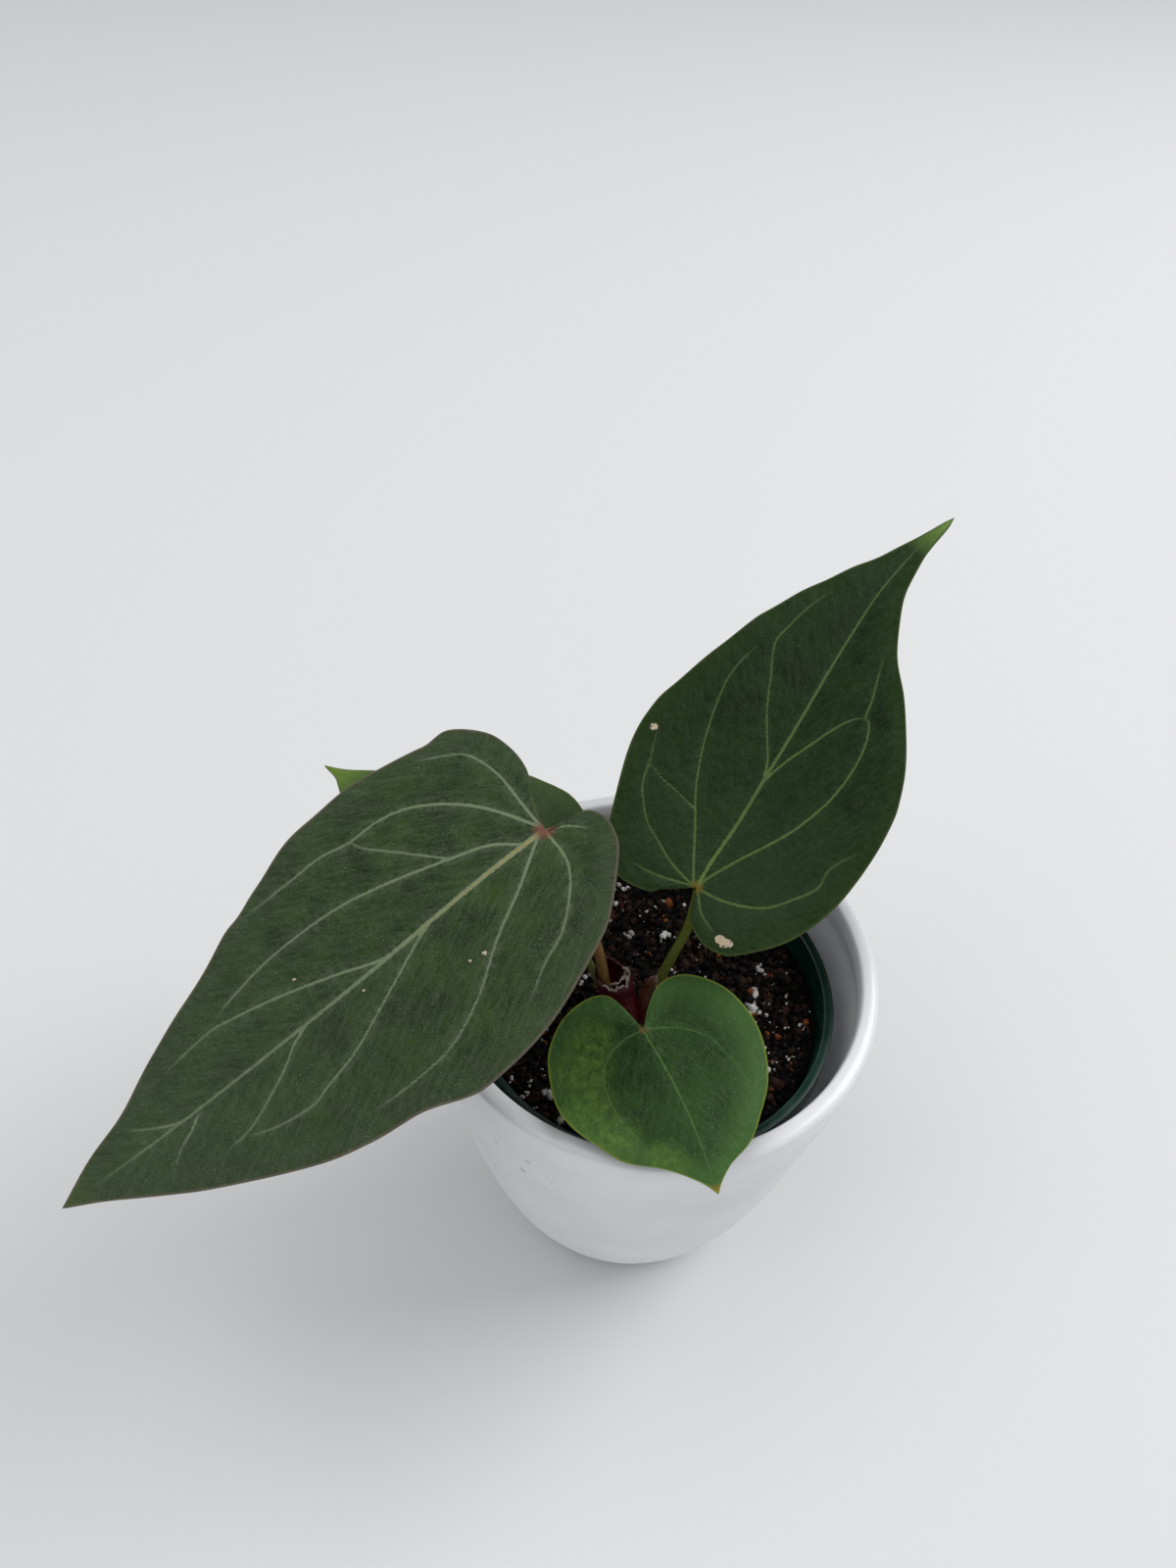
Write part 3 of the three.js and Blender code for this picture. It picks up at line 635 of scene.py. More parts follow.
def sheath(name, path, top, tip, low, slack, slack_side, dry_side, dry_width):
    """A thin wall rolled round a stalk and cut at a slant, with its point towards tip.

    Low is the height of the side opposite the point, as a share of the pointed one. Slack is
    how far the wall stands off the stalk from its foot to its top, and slack side where. Dry
    side is where the rim is dry, and dry width how deep. Sides are in degrees from the point.
    """
    piece, across, along = new_grid(name, 120, 40)
    # The margins lap over each other by 40 degrees, on the side away from the point
    roll = math.radians(200) * across
    near_tip = ((1 + np.cos(roll)) / 2) ** 3
    near_slack = ((1 + np.cos(roll - math.radians(slack_side))) / 2) ** 2
    ragged = 0.02 * np.sin(9 * roll + 1) + 0.014 * np.sin(23 * roll) + 0.01 * np.sin(41 * roll)
    rim = low + (1 - low) * near_tip + ragged
    place = rim * (along + 1) / 2
    height = SHEATH_FOOT + (top - SHEATH_FOOT) * place
    run = smooth_run(path, 12)
    lap = SHEATH_LAP * np.clip((roll - math.radians(130)) / math.radians(40), 0, 1)
    off = smooth_run([[i / (len(slack) - 1), value] for i, value in enumerate(slack)], 6)
    radius = SHEATH_INSIDE + SHEATH_THICKNESS + lap
    radius += np.maximum(np.interp(place, off[:, 0], off[:, 1]), 0) * near_slack
    radius += 0.05 * np.sin(34 * roll)
    turn = math.radians(tip) + roll
    x = np.interp(height, run[:, 2], run[:, 0]) + radius * np.cos(turn)
    y = np.interp(height, run[:, 2], run[:, 1]) + radius * np.sin(turn)
    set_points(piece, np.column_stack([x, y, height]))
    below_rim = (rim - place) * (top - SHEATH_FOOT)
    near_dry = np.exp(-(((np.degrees(roll) - dry_side) / 35) ** 2))
    depth = dry_width * near_dry * (0.75 + 0.4 * np.sin(14 * roll)) + 0.02
    dry = np.clip(1.3 - below_rim / depth, 0, 1) * np.clip(3 * near_dry, 0, 1)
    set_attribute(piece, "dry", dry)
    thicken(piece, SHEATH_THICKNESS)
    return piece


def sheath_skin(name, stops, foot, dry):
    """Fleshy skin with fine lengthwise ribs and pale specks, redder at the foot, dry at the rim."""
    material, shader = new_material(name, {})
    place = add_node(material, "TexCoord").outputs["Object"]
    # Ribs about 0.7 mm wide
    long_cells = add_node(material, "Mapping", {"Vector": place, "Scale": (1500, 1500, 260)})
    streak = add_node(material, "TexNoise", {"Vector": long_cells, "Scale": 1, "Detail": 4})
    body = add_node(material, "ValToRGB", {"Fac": streak, "stops": stops})
    height = add_node(material, "SeparateXYZ", {0: place}).outputs["Z"]
    lower = add_node(
        material, "MapRange", {"Value": height, "From": (0.106, 0.114), "To": (0.85, 0)}
    )
    tone = add_node(material, "MixRGB", {"Fac": lower, "Color1": body, "Color2": foot})
    # Specks about 0.3 mm across, one to each millimetre or so
    specks = add_node(material, "TexVoronoi", {"Vector": place, "Scale": 900})
    dots = add_node(material, "MapRange", {"Value": specks, "From": (0.1, 0.2), "To": (0.3, 0)})
    rim = add_node(material, "Attribute", {"attribute_name": "dry"}).outputs["Fac"]
    amount = add_node(material, "Math", {"operation": "MAXIMUM", 0: dots, 1: rim})
    skin = add_node(material, "MixRGB", {"Fac": amount, "Color1": tone, "Color2": dry})
    dull = add_node(material, "MapRange", {"Value": rim, "To": (0.36, 0.85)})
    bump = add_node(material, "Bump", {"Height": streak, "Distance": 0.0002, "Strength": 0.6})
    set_up(shader, {"Base Color": skin, "Roughness": dull, "Normal": bump})
    return material


sheath_red = sheath(
    "sheath_red_wrap",
    [[-6.2, -12, 98], [-8.8, -9.4, 107], [-12.6, -6.7, 115], [-15.4, -4.4, 127], [-21, -3.2, 144]],
    top=121.8,
    tip=75,
    low=0.78,
    slack=[2.8, 3.7, 4.7, 5.1, 1.3],
    slack_side=-75,
    dry_side=-120,
    dry_width=0.5,
)
crimson_skin = sheath_skin(
    "crimson_sheath_skin",
    [(0.3, "#380610"), (0.55, "#570c1b"), (0.75, "#742029")],
    foot="#5e0d20",
    dry="#c9bfb2",
)
settle(sheath_red, "sheath_red", crimson_skin, "sheath_red")

# The torn edge: a shred of dry white skin that lies along the rim and curls up at its end
SHRED_PATH = [
    [-11.6, -8.7, 117.6], [-10.3, -8.6, 117.9], [-9.2, -8.4, 117.9], [-8.5, -7.3, 118.2],
    [-7.7, -6.8, 118.6], [-6.9, -7.4, 118.6], [-6.5, -6.3, 119.4], [-7.1, -5.5, 120.4],
    [-8.4, -5.5, 120.8],
]
SHRED_WIDTHS = [0.5, 0.9, 0.6, 0.8, 1, 1.3, 1.5, 1.4, 0.7]
SHRED_THICKNESS = 0.16

shred, across, along = new_grid("sheath_red_torn_edge", 6, 48)
where = (along + 1) / 2
run = smooth_run(SHRED_PATH, 8)
widths = smooth_run([[value] for value in SHRED_WIDTHS], 8)[:, 0]
steps = np.linspace(0, 1, len(run))
middle = np.column_stack([np.interp(where, steps, run[:, k]) for k in range(3)])
half = np.interp(where, steps, widths) * (1 + 0.25 * np.sin(61 * where)) * across / 2
lean = np.radians(70 * np.sin(9 * where) + 30)
sideways = unit(np.column_stack([0.2 * np.cos(lean), -0.7 * np.cos(lean), np.sin(lean)]))
crinkle = 0.12 * np.sin(40 * where + 3 * across)
set_points(shred, middle + half[:, None] * sideways + crinkle[:, None] * (0.3, -0.8, 0.5))
thicken(shred, SHRED_THICKNESS)

# Torn fibres show as flecks about 0.5 mm wide
paper, shader = new_material("dry_white_plant_skin", {"Roughness": 0.8})
place = add_node(paper, "TexCoord").outputs["Object"]
fleck = add_node(paper, "TexNoise", {"Vector": place, "Scale": 1800, "Detail": 3})
creams = [(0.3, "#a08f80"), (0.5, "#cfc6bb"), (0.7, "#eae5dd")]
set_up(shader, {"Base Color": add_node(paper, "ValToRGB", {"Fac": fleck, "stops": creams})})
settle(shred, "sheath_red", paper)


# Brown sheath: a narrow scale leaf rolled round the foot of the right stalk, drying from its
# pale pointed tip down.
sheath_brown = sheath(
    "sheath_brown_wrap",
    [[0.3, -9, 98], [1, -6, 111.5], [5.4, -0.8, 123], [8.3, 1.9, 132]],
    top=117.8,
    tip=220,
    low=0.4,
    slack=[1.7, 2.1, 1.9, 1, 0.4],
    slack_side=-10,
    dry_side=0,
    dry_width=1.6,
)
brown_skin = sheath_skin(
    "brown_sheath_skin",
    [(0.3, "#3c1f10"), (0.55, "#553318"), (0.75, "#75512c")],
    foot="#6b1a24",
    dry="#98806a",
)
settle(sheath_brown, "sheath_brown", brown_skin, "sheath_brown")


# Left blade: the largest leaf, leathery, with a velvety dark green upper side where silvery
# veins lie sunken, and a paler underside where they stand out as ribs. It is grown in one
# piece with its stalk, which joins it at the notch between its two lobes.

# In millimetres: the upper skin lies this far over the middle of the sheet, quilted between the
# veins, grooved along them, rippled at the margin and swollen at the joint with the stalk
LEAF_HALF = 0.36
QUILT_HEIGHT = 0.38
GROOVE_DEPTH = 0.22
RIPPLE_HEIGHT = 0.35
JOINT_SWELL = 0.5
JOINT_RADIUS = 1.7
LEAF_THICKNESS = 0.6
RIB_HEIGHT = 1
MIDRIB_ROUNDING = 2
# Over 1, this brings the rows of cells closer together towards the joint
MIDRIB_EASE = 1.3
STREAK_ANGLE = math.radians(30)

LEFT_MIDRIB = [[-31, -1.5, 170], [-62.5, -30, 160], [-86.5, -47, 137], [-139, -75, 105]]
# Outline to the right (1) and left (-1) of the midrib: how far along the midrib a point lies,
# as a share of its length, and how far across in millimetres
LEFT_OUTLINE = {
    1: [
        [-0.025, 8.7], [-0.048, 13.4], [-0.06, 18], [-0.061, 24], [-0.046, 30.6], [0.005, 37.9],
        [0.06, 37.7], [0.093, 38.3], [0.203, 40.8], [0.375, 40.4], [0.498, 35.9], [0.557, 32.5],
        [0.605, 30.6], [0.703, 24.2], [0.805, 17.6], [0.876, 10.5], [0.942, 6.5],
    ],
    -1: [
        [-0.035, 1.5], [-0.068, 1.9], [-0.091, 3.8], [-0.1, 8], [-0.092, 12.5], [-0.071, 17.2],
        [0.01, 27.2], [0.063, 31.8], [0.177, 37.7], [0.272, 40.4], [0.357, 40.7], [0.397, 39.6],
        [0.473, 35.3], [0.565, 33], [0.659, 28.6], [0.817, 17], [0.941, 5.2],
    ],
}
# Veins: half the width at the start and at the end, then points as in the outline
LEFT_VEINS = [
    (0.85, 0.3, [[0, 0], [0.15, 0.2], [0.4, -0.1], [0.65, 0.2], [0.96, 0]]),
    (0.45, 0.25, [
        [0.05, 0.6], [0.1, 5.8], [0.19, 10], [0.3, 14.7], [0.41, 18], [0.54, 18.9],
        [0.625, 17.5], [0.68, 15.8],
    ]),
    (0.5, 0.25, [
        [0, 1], [0.03, 8.7], [0.062, 15.2], [0.101, 20.5], [0.148, 25], [0.193, 27.7],
        [0.248, 29], [0.303, 29.1], [0.37, 31], [0.434, 31], [0.48, 31.2], [0.56, 31.4],
    ]),
    (0.28, 0.22, [
        [0.165, 8.6], [0.181, 10.5], [0.217, 15.6], [0.257, 21.1], [0.291, 25.8], [0.303, 29.1],
    ]),
    (0.45, 0.2, [
        [0, 1], [-0.004, 10.3], [-0.008, 16.9], [-0.005, 22.2], [0.004, 26.8], [0.02, 30.1],
        [0.053, 32.7], [0.105, 36],
    ]),
    (0.45, 0.2, [
        [0.37, 0.2], [0.396, 0.8], [0.48, 5.4], [0.58, 10], [0.66, 12.8], [0.71, 13.8],
        [0.8, 12.2],
    ]),
    (0.5, 0.25, [
        [0, -0.8], [0.024, -1.1], [0.11, -8.4], [0.2, -14.9], [0.29, -23.2], [0.376, -28],
        [0.456, -28.6], [0.53, -28],
    ]),
    (0.42, 0.2, [
        [0, -1], [0.009, -10.1], [0.042, -17], [0.105, -24.3], [0.165, -27.6], [0.22, -32],
    ]),
    (0.35, 0.2, [[0, -0.4], [-0.036, -2.8], [-0.064, -7.4]]),
    (0.45, 0.2, [
        [0.28, -0.3], [0.305, -1.3], [0.354, -4], [0.424, -8.2], [0.51, -13.4], [0.58, -15.9],
        [0.616, -17.2], [0.68, -15.7], [0.73, -12.6],
    ]),
    (0.38, 0.2, [[0.56, 0], [0.595, -2], [0.633, -5.9], [0.709, -11.6], [0.76, -12.8]]),
    (0.3, 0.2, [[0.79, 0], [0.814, 0.6], [0.843, 2.8], [0.88, 6.3]]),
    (0.3, 0.2, [[0.78, -1], [0.8, -3.4], [0.818, -5], [0.84, -8.2]]),
]


def bezier(knots, stations):
    """Points at stations along a Bezier curve, which goes on straight before its start."""
    a, b, c, d = np.array(knots, float)
    t = np.maximum(stations, 0)[:, None]
    point = (1 - t) ** 3 * a + 3 * (1 - t) ** 2 * t * b + 3 * (1 - t) * t**2 * c + t**3 * d
    return point + 3 * np.minimum(stations, 0)[:, None] * (b - a)


def blade_frame(knots, roll, stations):
    """Directions at stations of a midrib: across to its right, and up off the blade's face."""
    a, b, c, d = np.array(knots, float)
    t = np.maximum(stations, 0)[:, None]
    tangent = unit((1 - t) ** 2 * (b - a) + 2 * (1 - t) * t * (c - b) + t**2 * (d - c))
    level = unit(np.cross(tangent, (0, 0, 1)))
    up = np.cross(level, tangent)
    turn = np.radians(roll[0] + (roll[1] - roll[0]) * t)
    return level * np.cos(turn) + up * np.sin(turn), up * np.cos(turn) - level * np.sin(turn)


def vein_field(spots, veins, finest):
    """How veins run by spots on the flat blade.

    For each spot: how much of it is vein, how far the next vein is, and for that vein the
    distance as a share of half its width, and how pale it is there. Finest is the least half
    width that the blade's cells can show.
    """
    vein = np.zeros(len(spots))
    nearest = np.full(len(spots), 99.0)
    ratio = np.full(len(spots), 9.0)
    pale = np.zeros(len(spots))
    for half_start, half_end, points in veins:
        run = smooth_run(points, 5)
        for i, (a, b) in enumerate(zip(run, run[1:])):
            line = b - a
            share = np.clip((spots - a) @ line / (line @ line), 0, 1)
            gap = np.linalg.norm(spots - a - share[:, None] * line, axis=1)
            progress = (i + share) / (len(run) - 1)
            half = half_start + (half_end - half_start) * progress
            # Only the thickest veins get the full share, which brings their tan middle
            fade = np.clip(half / 0.4, 0, 0.75) + np.clip(half - 0.5, 0, 0.25)
            fade *= np.clip((1 - progress) * 12, 0, 1) * (1 - 0.4 * progress**2)
            here = gap / np.maximum(half, finest)
            closer = here < ratio
            ratio = np.where(closer, here, ratio)
            pale = np.where(closer, fade, pale)
            vein = np.maximum(vein, np.clip(1.5 - here, 0, 1) * fade)
            nearest = np.minimum(nearest, gap + 3 * np.maximum(0.75 - fade, 0))
    return vein, nearest, ratio, pale


def patches(spots, places):
    """Soft round patches: 1 in the middle of each [along, across, radius] and 0 outside."""
    patch = np.zeros(len(spots))
    for along, across, radius in places:
        gap = np.linalg.norm(spots - (along, across), axis=1)
        patch = np.maximum(patch, np.clip(1.6 - 1.2 * gap / radius, 0, 1))
    return patch


def blade(name, midrib, outline, veins, roll, fold, cells, finest, corky=(), yellow=()):
    """A blade laid as a grid between midrib and outline, bent, quilted and given its thickness.

    Midrib holds the four knots of a Bezier curve, roll how many degrees the face is turned about
    it at its two ends, and fold how far each half is folded up. Cells are the grid's columns
    and rows, and finest the least half width of a vein that they can show. Corky and yellow
    are patches. Each vertex carries where it lies by the veins, how far it is from the margin,
    and its place when laid flat, all for the blade's material.
    """
    piece, half, along = new_grid(name, *cells)
    share = np.abs(half)
    place = (along + 1) / 2
    # Lengths along the midrib, so that the flat place is in millimetres
    knots = np.linspace(-0.4, 1, 281)
    lengths = reach_along(bezier(midrib, knots))
    lengths -= np.interp(0, knots, lengths)

    def flat(stations):
        return np.interp(stations, knots, lengths)

    # Each row runs from the midrib to the outline, where the rows are evenly spaced
    spine = place**MIDRIB_EASE
    edge = np.empty((len(place), 2))
    for side, points in outline.items():
        here = half * side >= 0
        run = smooth_run([[0, 0], *points, [1, 0]], 12)
        reach = reach_along(np.column_stack([flat(run[:, 0]), run[:, 1]]))
        for k in (0, 1):
            edge[here, k] = np.interp(place[here], reach / reach[-1], run[:, k])
    station = spine + (edge[:, 0] - spine) * share
    across = np.sign(half) * edge[:, 1] * share

    spots = np.column_stack([flat(station), across])
    flat_veins = [(*halves, [[flat(t), u] for t, u in points]) for *halves, points in veins]
    vein, nearest, ratio, pale = vein_field(spots, flat_veins, finest)
    margin = (1 - share) * np.hypot(flat(edge[:, 0]) - flat(spine), edge[:, 1])
    inner = 1 - np.exp(-((margin / 4) ** 2))
    quilt = QUILT_HEIGHT * (1 - np.exp(-((nearest / 3.2) ** 2))) * inner
    ripple = RIPPLE_HEIGHT * np.exp(-margin / 5) * np.sin(spots[:, 0] * 0.31 + across * 0.11)
    by_joint = np.exp(-((np.hypot(*spots.T) / JOINT_RADIUS) ** 2))
    lift = LEAF_HALF + quilt - GROOVE_DEPTH * vein + ripple + JOINT_SWELL * by_joint

    sideways, face = blade_frame(midrib, roll, station)
    turn = math.radians(fold)
    rise = (np.hypot(across, MIDRIB_ROUNDING) - MIDRIB_ROUNDING) * math.sin(turn) + lift
    points = bezier(midrib, station) + sideways * (across * math.cos(turn))[:, None]
    set_points(piece, points + face * rise[:, None])
    for attribute, values in (
        ("vein", vein), ("near", np.exp(-((nearest / 2) ** 2))), ("ratio", np.minimum(ratio, 6)),
        ("pale", pale), ("margin", np.minimum(margin, 20)),
        ("corky", patches(spots, [(flat(t), u, r) for t, u, r in corky])),
        ("yellow", patches(spots, [(flat(t), u, r) for t, u, r in yellow])),
    ):
        set_attribute(piece, attribute, values)
    set_attribute(piece, "flat", np.column_stack([spots, np.zeros(len(spots))]), "FLOAT_VECTOR")

    ribs = piece.vertex_groups.new(name="ribs")
    thickest = LEAF_THICKNESS + RIB_HEIGHT
    thickness = LEAF_THICKNESS + RIB_HEIGHT * vein * (1 - by_joint)
    for i, amount in enumerate((thickness / thickest).tolist()):
        ribs.add([i], amount, "REPLACE")
    bpy.ops.object.mode_set(mode="EDIT")
    bpy.ops.mesh.select_all(action="SELECT")
    bpy.ops.mesh.remove_doubles(threshold=0.002 * MM)
    bpy.ops.object.mode_set(mode="OBJECT")
    thicken(piece, thickest, vertex_group=ribs.name, material_offset=1, material_offset_rim=0)
    return piece


def leaf_tissue(name, tones, veins, fade, tip, border_tone_and_shading, joint, edge, dust, shine):
    """Upper skin of a blade: clouded green under a pale bloom and painted sheen, with paler veins.

    Tones are the dark and light green and the bloom, which is partly a painted sheen, and veins
    their middle and their sides. Fade and tip are tones that grow between two distances along the
    blade; the fade paints light and shade along some blades, and the tip is partly a painted
    highlight on one. The border tone and shading is the tone of the blade's outer part, painted
    light on some blades and painted shade on others, and how deep that is, joint the tone at the
    stalk and how wide that is, and edge the tone of the margin itself. Dust is how strongly dust
    shows, and shine how glossy the velvet is.
    """
    finish = {"Specular IOR Level": shine, "Sheen Weight": shine / 8, "Sheen Roughness": 0.4}
    material, shader = new_material(name, finish)
    flat = add_node(material, "Attribute", {"attribute_name": "flat"}).outputs["Vector"]
    margin, near, ratio, pale, corky, yellow = (
        add_node(material, "Attribute", {"attribute_name": attribute}).outputs["Fac"]
        for attribute in ("margin", "near", "ratio", "pale", "corky", "yellow")
    )
    along = add_node(material, "SeparateXYZ", {0: flat}).outputs["X"]
    from_joint = add_node(material, "VectorMath", {"operation": "LENGTH", 0: flat}).outputs["Value"]
    # Streaks 6 mm long, and veins of the fine net with cells 9 mm long and 3 mm wide, run out
    # from the midrib at a slant, alike on both sides
    mirrored = add_node(material, "VectorMath", {"operation": "ABSOLUTE", 0: flat})
    slant = {"Vector": mirrored, "vector_type": "TEXTURE", "Rotation": (0, 0, STREAK_ANGLE)}
    streaked = add_node(material, "Mapping", {**slant, "Scale": (6, 1.1, 1)})
    net_cells = add_node(material, "Mapping", {**slant, "Scale": (9, 3, 1)})
    # Noises: each with where it lies, its waves to a millimetre, its detail and its roughness
    noise = {
        use: add_node(
            material, "TexNoise", {"Vector": where, "Scale": waves, "Detail": detail, "Roughness": rough}
        )
        for use, where, waves, detail, rough in (
            ("clouds", flat, 0.07, 5, 0.68), ("streaks", streaked, 1, 3, 0.6),
            ("specks", flat, 2.2, 3, 0.8), ("dust", flat, 3, 1, 0.5), ("drifts", flat, 0.11, 2, 0.5),
            ("swirl", flat, 0.2, 3, 0.5), ("mottle", flat, 0.4, 4, 0.7), ("gather", flat, 0.5, 5, 0.7),
            ("frays", flat, 1.2, 4, 0.6), ("scabs", flat, 0.9, 3, 0.7), ("puckers", flat, 0.26, 3, 0.55),
            ("velvet", flat, 2.4, 4, 0.6),
        )
    }
    swirl = noise["swirl"].outputs["Color"]
    swirled = {"operation": "MULTIPLY_ADD", 0: swirl, 1: (1.1, 1.1, 0), 2: net_cells}
    bent = add_node(material, "VectorMath", swirled)
    net = add_node(material, "TexVoronoi", {"Vector": bent, "feature": "DISTANCE_TO_EDGE", "Scale": 1})
    spread = {"operation": "MULTIPLY_ADD", 0: noise["frays"], 1: 1.1, 2: ratio}
    frayed = add_node(material, "Math", spread)

    # What limits a coat below: a source, its ends, and the shares there
    dusty, gathering, thick, scabby = (
        add_node(material, "MapRange", {"Value": source, "From": ends, "To": shares})
        for source, ends, shares in (
            (noise["drifts"], (0.42, 0.6), (0.15, 1)), (noise["gather"], (0.42, 0.6), (0, 1)),
            (pale, (0.76, 0.9), (0, 1)), (noise["scabs"], (0.35, 0.55), (0.3, 1.2)),
        )
    )
    crust = add_node(material, "Math", {"operation": "MULTIPLY", 0: corky, 1: scabby})
    # Coats of colour over the clouded green, from the bottom up. Each has its tone, its source
    # with its ends and the coat's shares there, and what limits it
    dark, light, bloom_and_sheen = tones
    core, side = veins
    greens = [(0.4, dark), (0.62, light)]
    colour = add_node(material, "ValToRGB", {"Fac": noise["clouds"], "stops": greens})
    for tone, source, ends, shares, limit in (
        # Painted light and shade: the fade along the blade and the tone round its outer part
        (fade[0], along, fade[1:], (0, 0.6), None),
        (border_tone_and_shading[0], margin, (0.3 * border_tone_and_shading[1], border_tone_and_shading[1]), (0.6, 0), None),
        # The bloom, partly a painted sheen, in streaks and specks, and grains of dust under 0.4 mm
        (bloom_and_sheen, noise["streaks"], (0.4, 0.74), (0, 0.32), None),
        (bloom_and_sheen, noise["specks"], (0.46, 0.68), (0, 0.45), None),
        ("#a9b4a4", noise["dust"], (0.68, 0.74), (0, dust), dusty),
        # The fine net of veins, and yellow-green patches
        (side, net, (0, 0.07), (0.05, 0), None),
        ("#678a38", noise["mottle"], (0.42, 0.66), (0.15, 0.65), yellow),
        # Bloom and painted sheen gather by the veins, each a frayed pale band, the thickest with a tan
        # middle
        (bloom_and_sheen, near, (0.1, 0.9), (0, 0.6), gathering),
        (side, frayed, (1.2, 1.65), (1, 0), pale),
        (core, frayed, (0.8, 1.1), (1, 0), thick),
        # The joint, the tip and the margin, and corky scars
        (joint[0], from_joint, (0.3 * joint[1], joint[1]), (0.9, 0), None),
        (tip[0], along, tip[1:], (0, 0.9), None),
        (edge, margin, (0.15, 0.7), (0.9, 0), None),
        ("#c4b39a", crust, (0.3, 0.45), (0, 1), None),
    ):
        amount = add_node(material, "MapRange", {"Value": source, "From": ends, "To": shares})
        if limit:
            amount = add_node(material, "Math", {"operation": "MULTIPLY", 0: amount, 1: limit})
        colour = add_node(material, "MixRGB", {"Fac": amount, "Color1": colour, "Color2": tone})
    dullness = {"Value": noise["clouds"], "From": (0.3, 0.75), "To": (0.38, 0.58)}
    dull = add_node(material, "MapRange", dullness)
    set_up(shader, {"Base Color": colour, "Roughness": dull})

    # Relief: puckers 4 mm across, the sunken net, and the grain of the velvet
    sunken = add_node(material, "MapRange", {"Value": net, "From": (0, 0.3)})
    pucker = {"Height": noise["puckers"], "Distance": 0.0012, "Strength": 0.8}
    relief = add_node(material, "Bump", pucker)
    for height, depth, strength in ((sunken, 0.0003, 0.25), (noise["velvet"], 0.00035, 0.35)):
        over = {"Height": height, "Distance": depth, "Strength": strength, "Normal": relief}
        relief = add_node(material, "Bump", over)
    set_up(shader, {"Normal": relief})
    return material


def leaf_underside(name, field, rib):
    """Lower skin of a blade: matt and paler, with a fine net of veins and ribs paler still."""
    material, shader = new_material(name, {"Roughness": 0.55})
    flat = add_node(material, "Attribute", {"attribute_name": "flat"}).outputs["Vector"]
    core = add_node(material, "Attribute", {"attribute_name": "vein"}).outputs["Fac"]
    # The net's cells are 2 mm wide
    net = add_node(material, "TexVoronoi", {"Vector": flat, "feature": "DISTANCE_TO_EDGE", "Scale": 0.5})
    thread = add_node(material, "MapRange", {"Value": net, "From": (0.02, 0.1), "To": (0.4, 0)})
    amount = add_node(material, "Math", {"operation": "MAXIMUM", 0: core, 1: thread})
    colour = add_node(material, "MixRGB", {"Fac": amount, "Color1": field, "Color2": rib})
    raised = {"Height": net, "Distance": 0.0003, "Strength": 0.6, "invert": True}
    set_up(shader, {"Base Color": colour, "Normal": add_node(material, "Bump", raised)})
    return material


blade_left = blade(
    "blade_left_lamina", LEFT_MIDRIB, LEFT_OUTLINE, LEFT_VEINS,
    roll=(5, 18), fold=5, cells=(150, 270), finest=0.35,
    corky=[[0.233, -15.7, 0.55], [0.261, -14.9, 0.4], [0.536, 10.6, 0.4], [0.445, -2.8, 0.3]],
)
# The fade greys this blade towards its tip, and the border tone greys its outer part: painted sheen.
left_skin = leaf_tissue(
    "velvet_leaf_silver_veined",
    tones=("#152a05", "#2d4412", "#5a6650"),
    veins=("#958c5c", "#80906f"),
    fade=("#44553b", 30, 147),
    tip=("#4c5c33", 135, 147),
    border_tone_and_shading=("#35452a", 8),
    joint=("#7a4a3c", 3.4),
    edge="#665e50",
    dust=0.6,
    shine=0.1,
)
pale_under = leaf_underside("pale_leaf_underside", field="#5d7048", rib="#8b9a68")
settle(blade_left, "leaf_left", left_skin, "blade_left")
blade_left.data.materials.append(pale_under)


# Right blade: a large upright leaf, glossier and darker than the left one, with yellow-green
# veins. Its underside faces the back and shows the ribs.
RIGHT_MIDRIB = [[8.5, 2, 148], [31, 37.5, 168], [49.5, 90.5, 180], [86, 126.5, 184]]
RIGHT_OUTLINE = {
    1: [
        [-0.049, 2.4], [-0.07, 5.1], [-0.083, 9.3], [-0.083, 13.7], [-0.069, 17.8],
        [-0.009, 26], [0.065, 31.6], [0.158, 34.9], [0.27, 36], [0.33, 34.9], [0.425, 30.6],
        [0.52, 23.5], [0.611, 15.4], [0.73, 8.2], [0.855, 4.1], [0.96, 1.8],
    ],
    -1: [
        [-0.035, 6.7], [-0.056, 10.4], [-0.063, 18.4], [-0.035, 24], [0.016, 28.3],
        [0.164, 34.4], [0.25, 34.6], [0.322, 32], [0.48, 24.8], [0.555, 20.7], [0.792, 6],
        [0.92, 1.6],
    ],
}
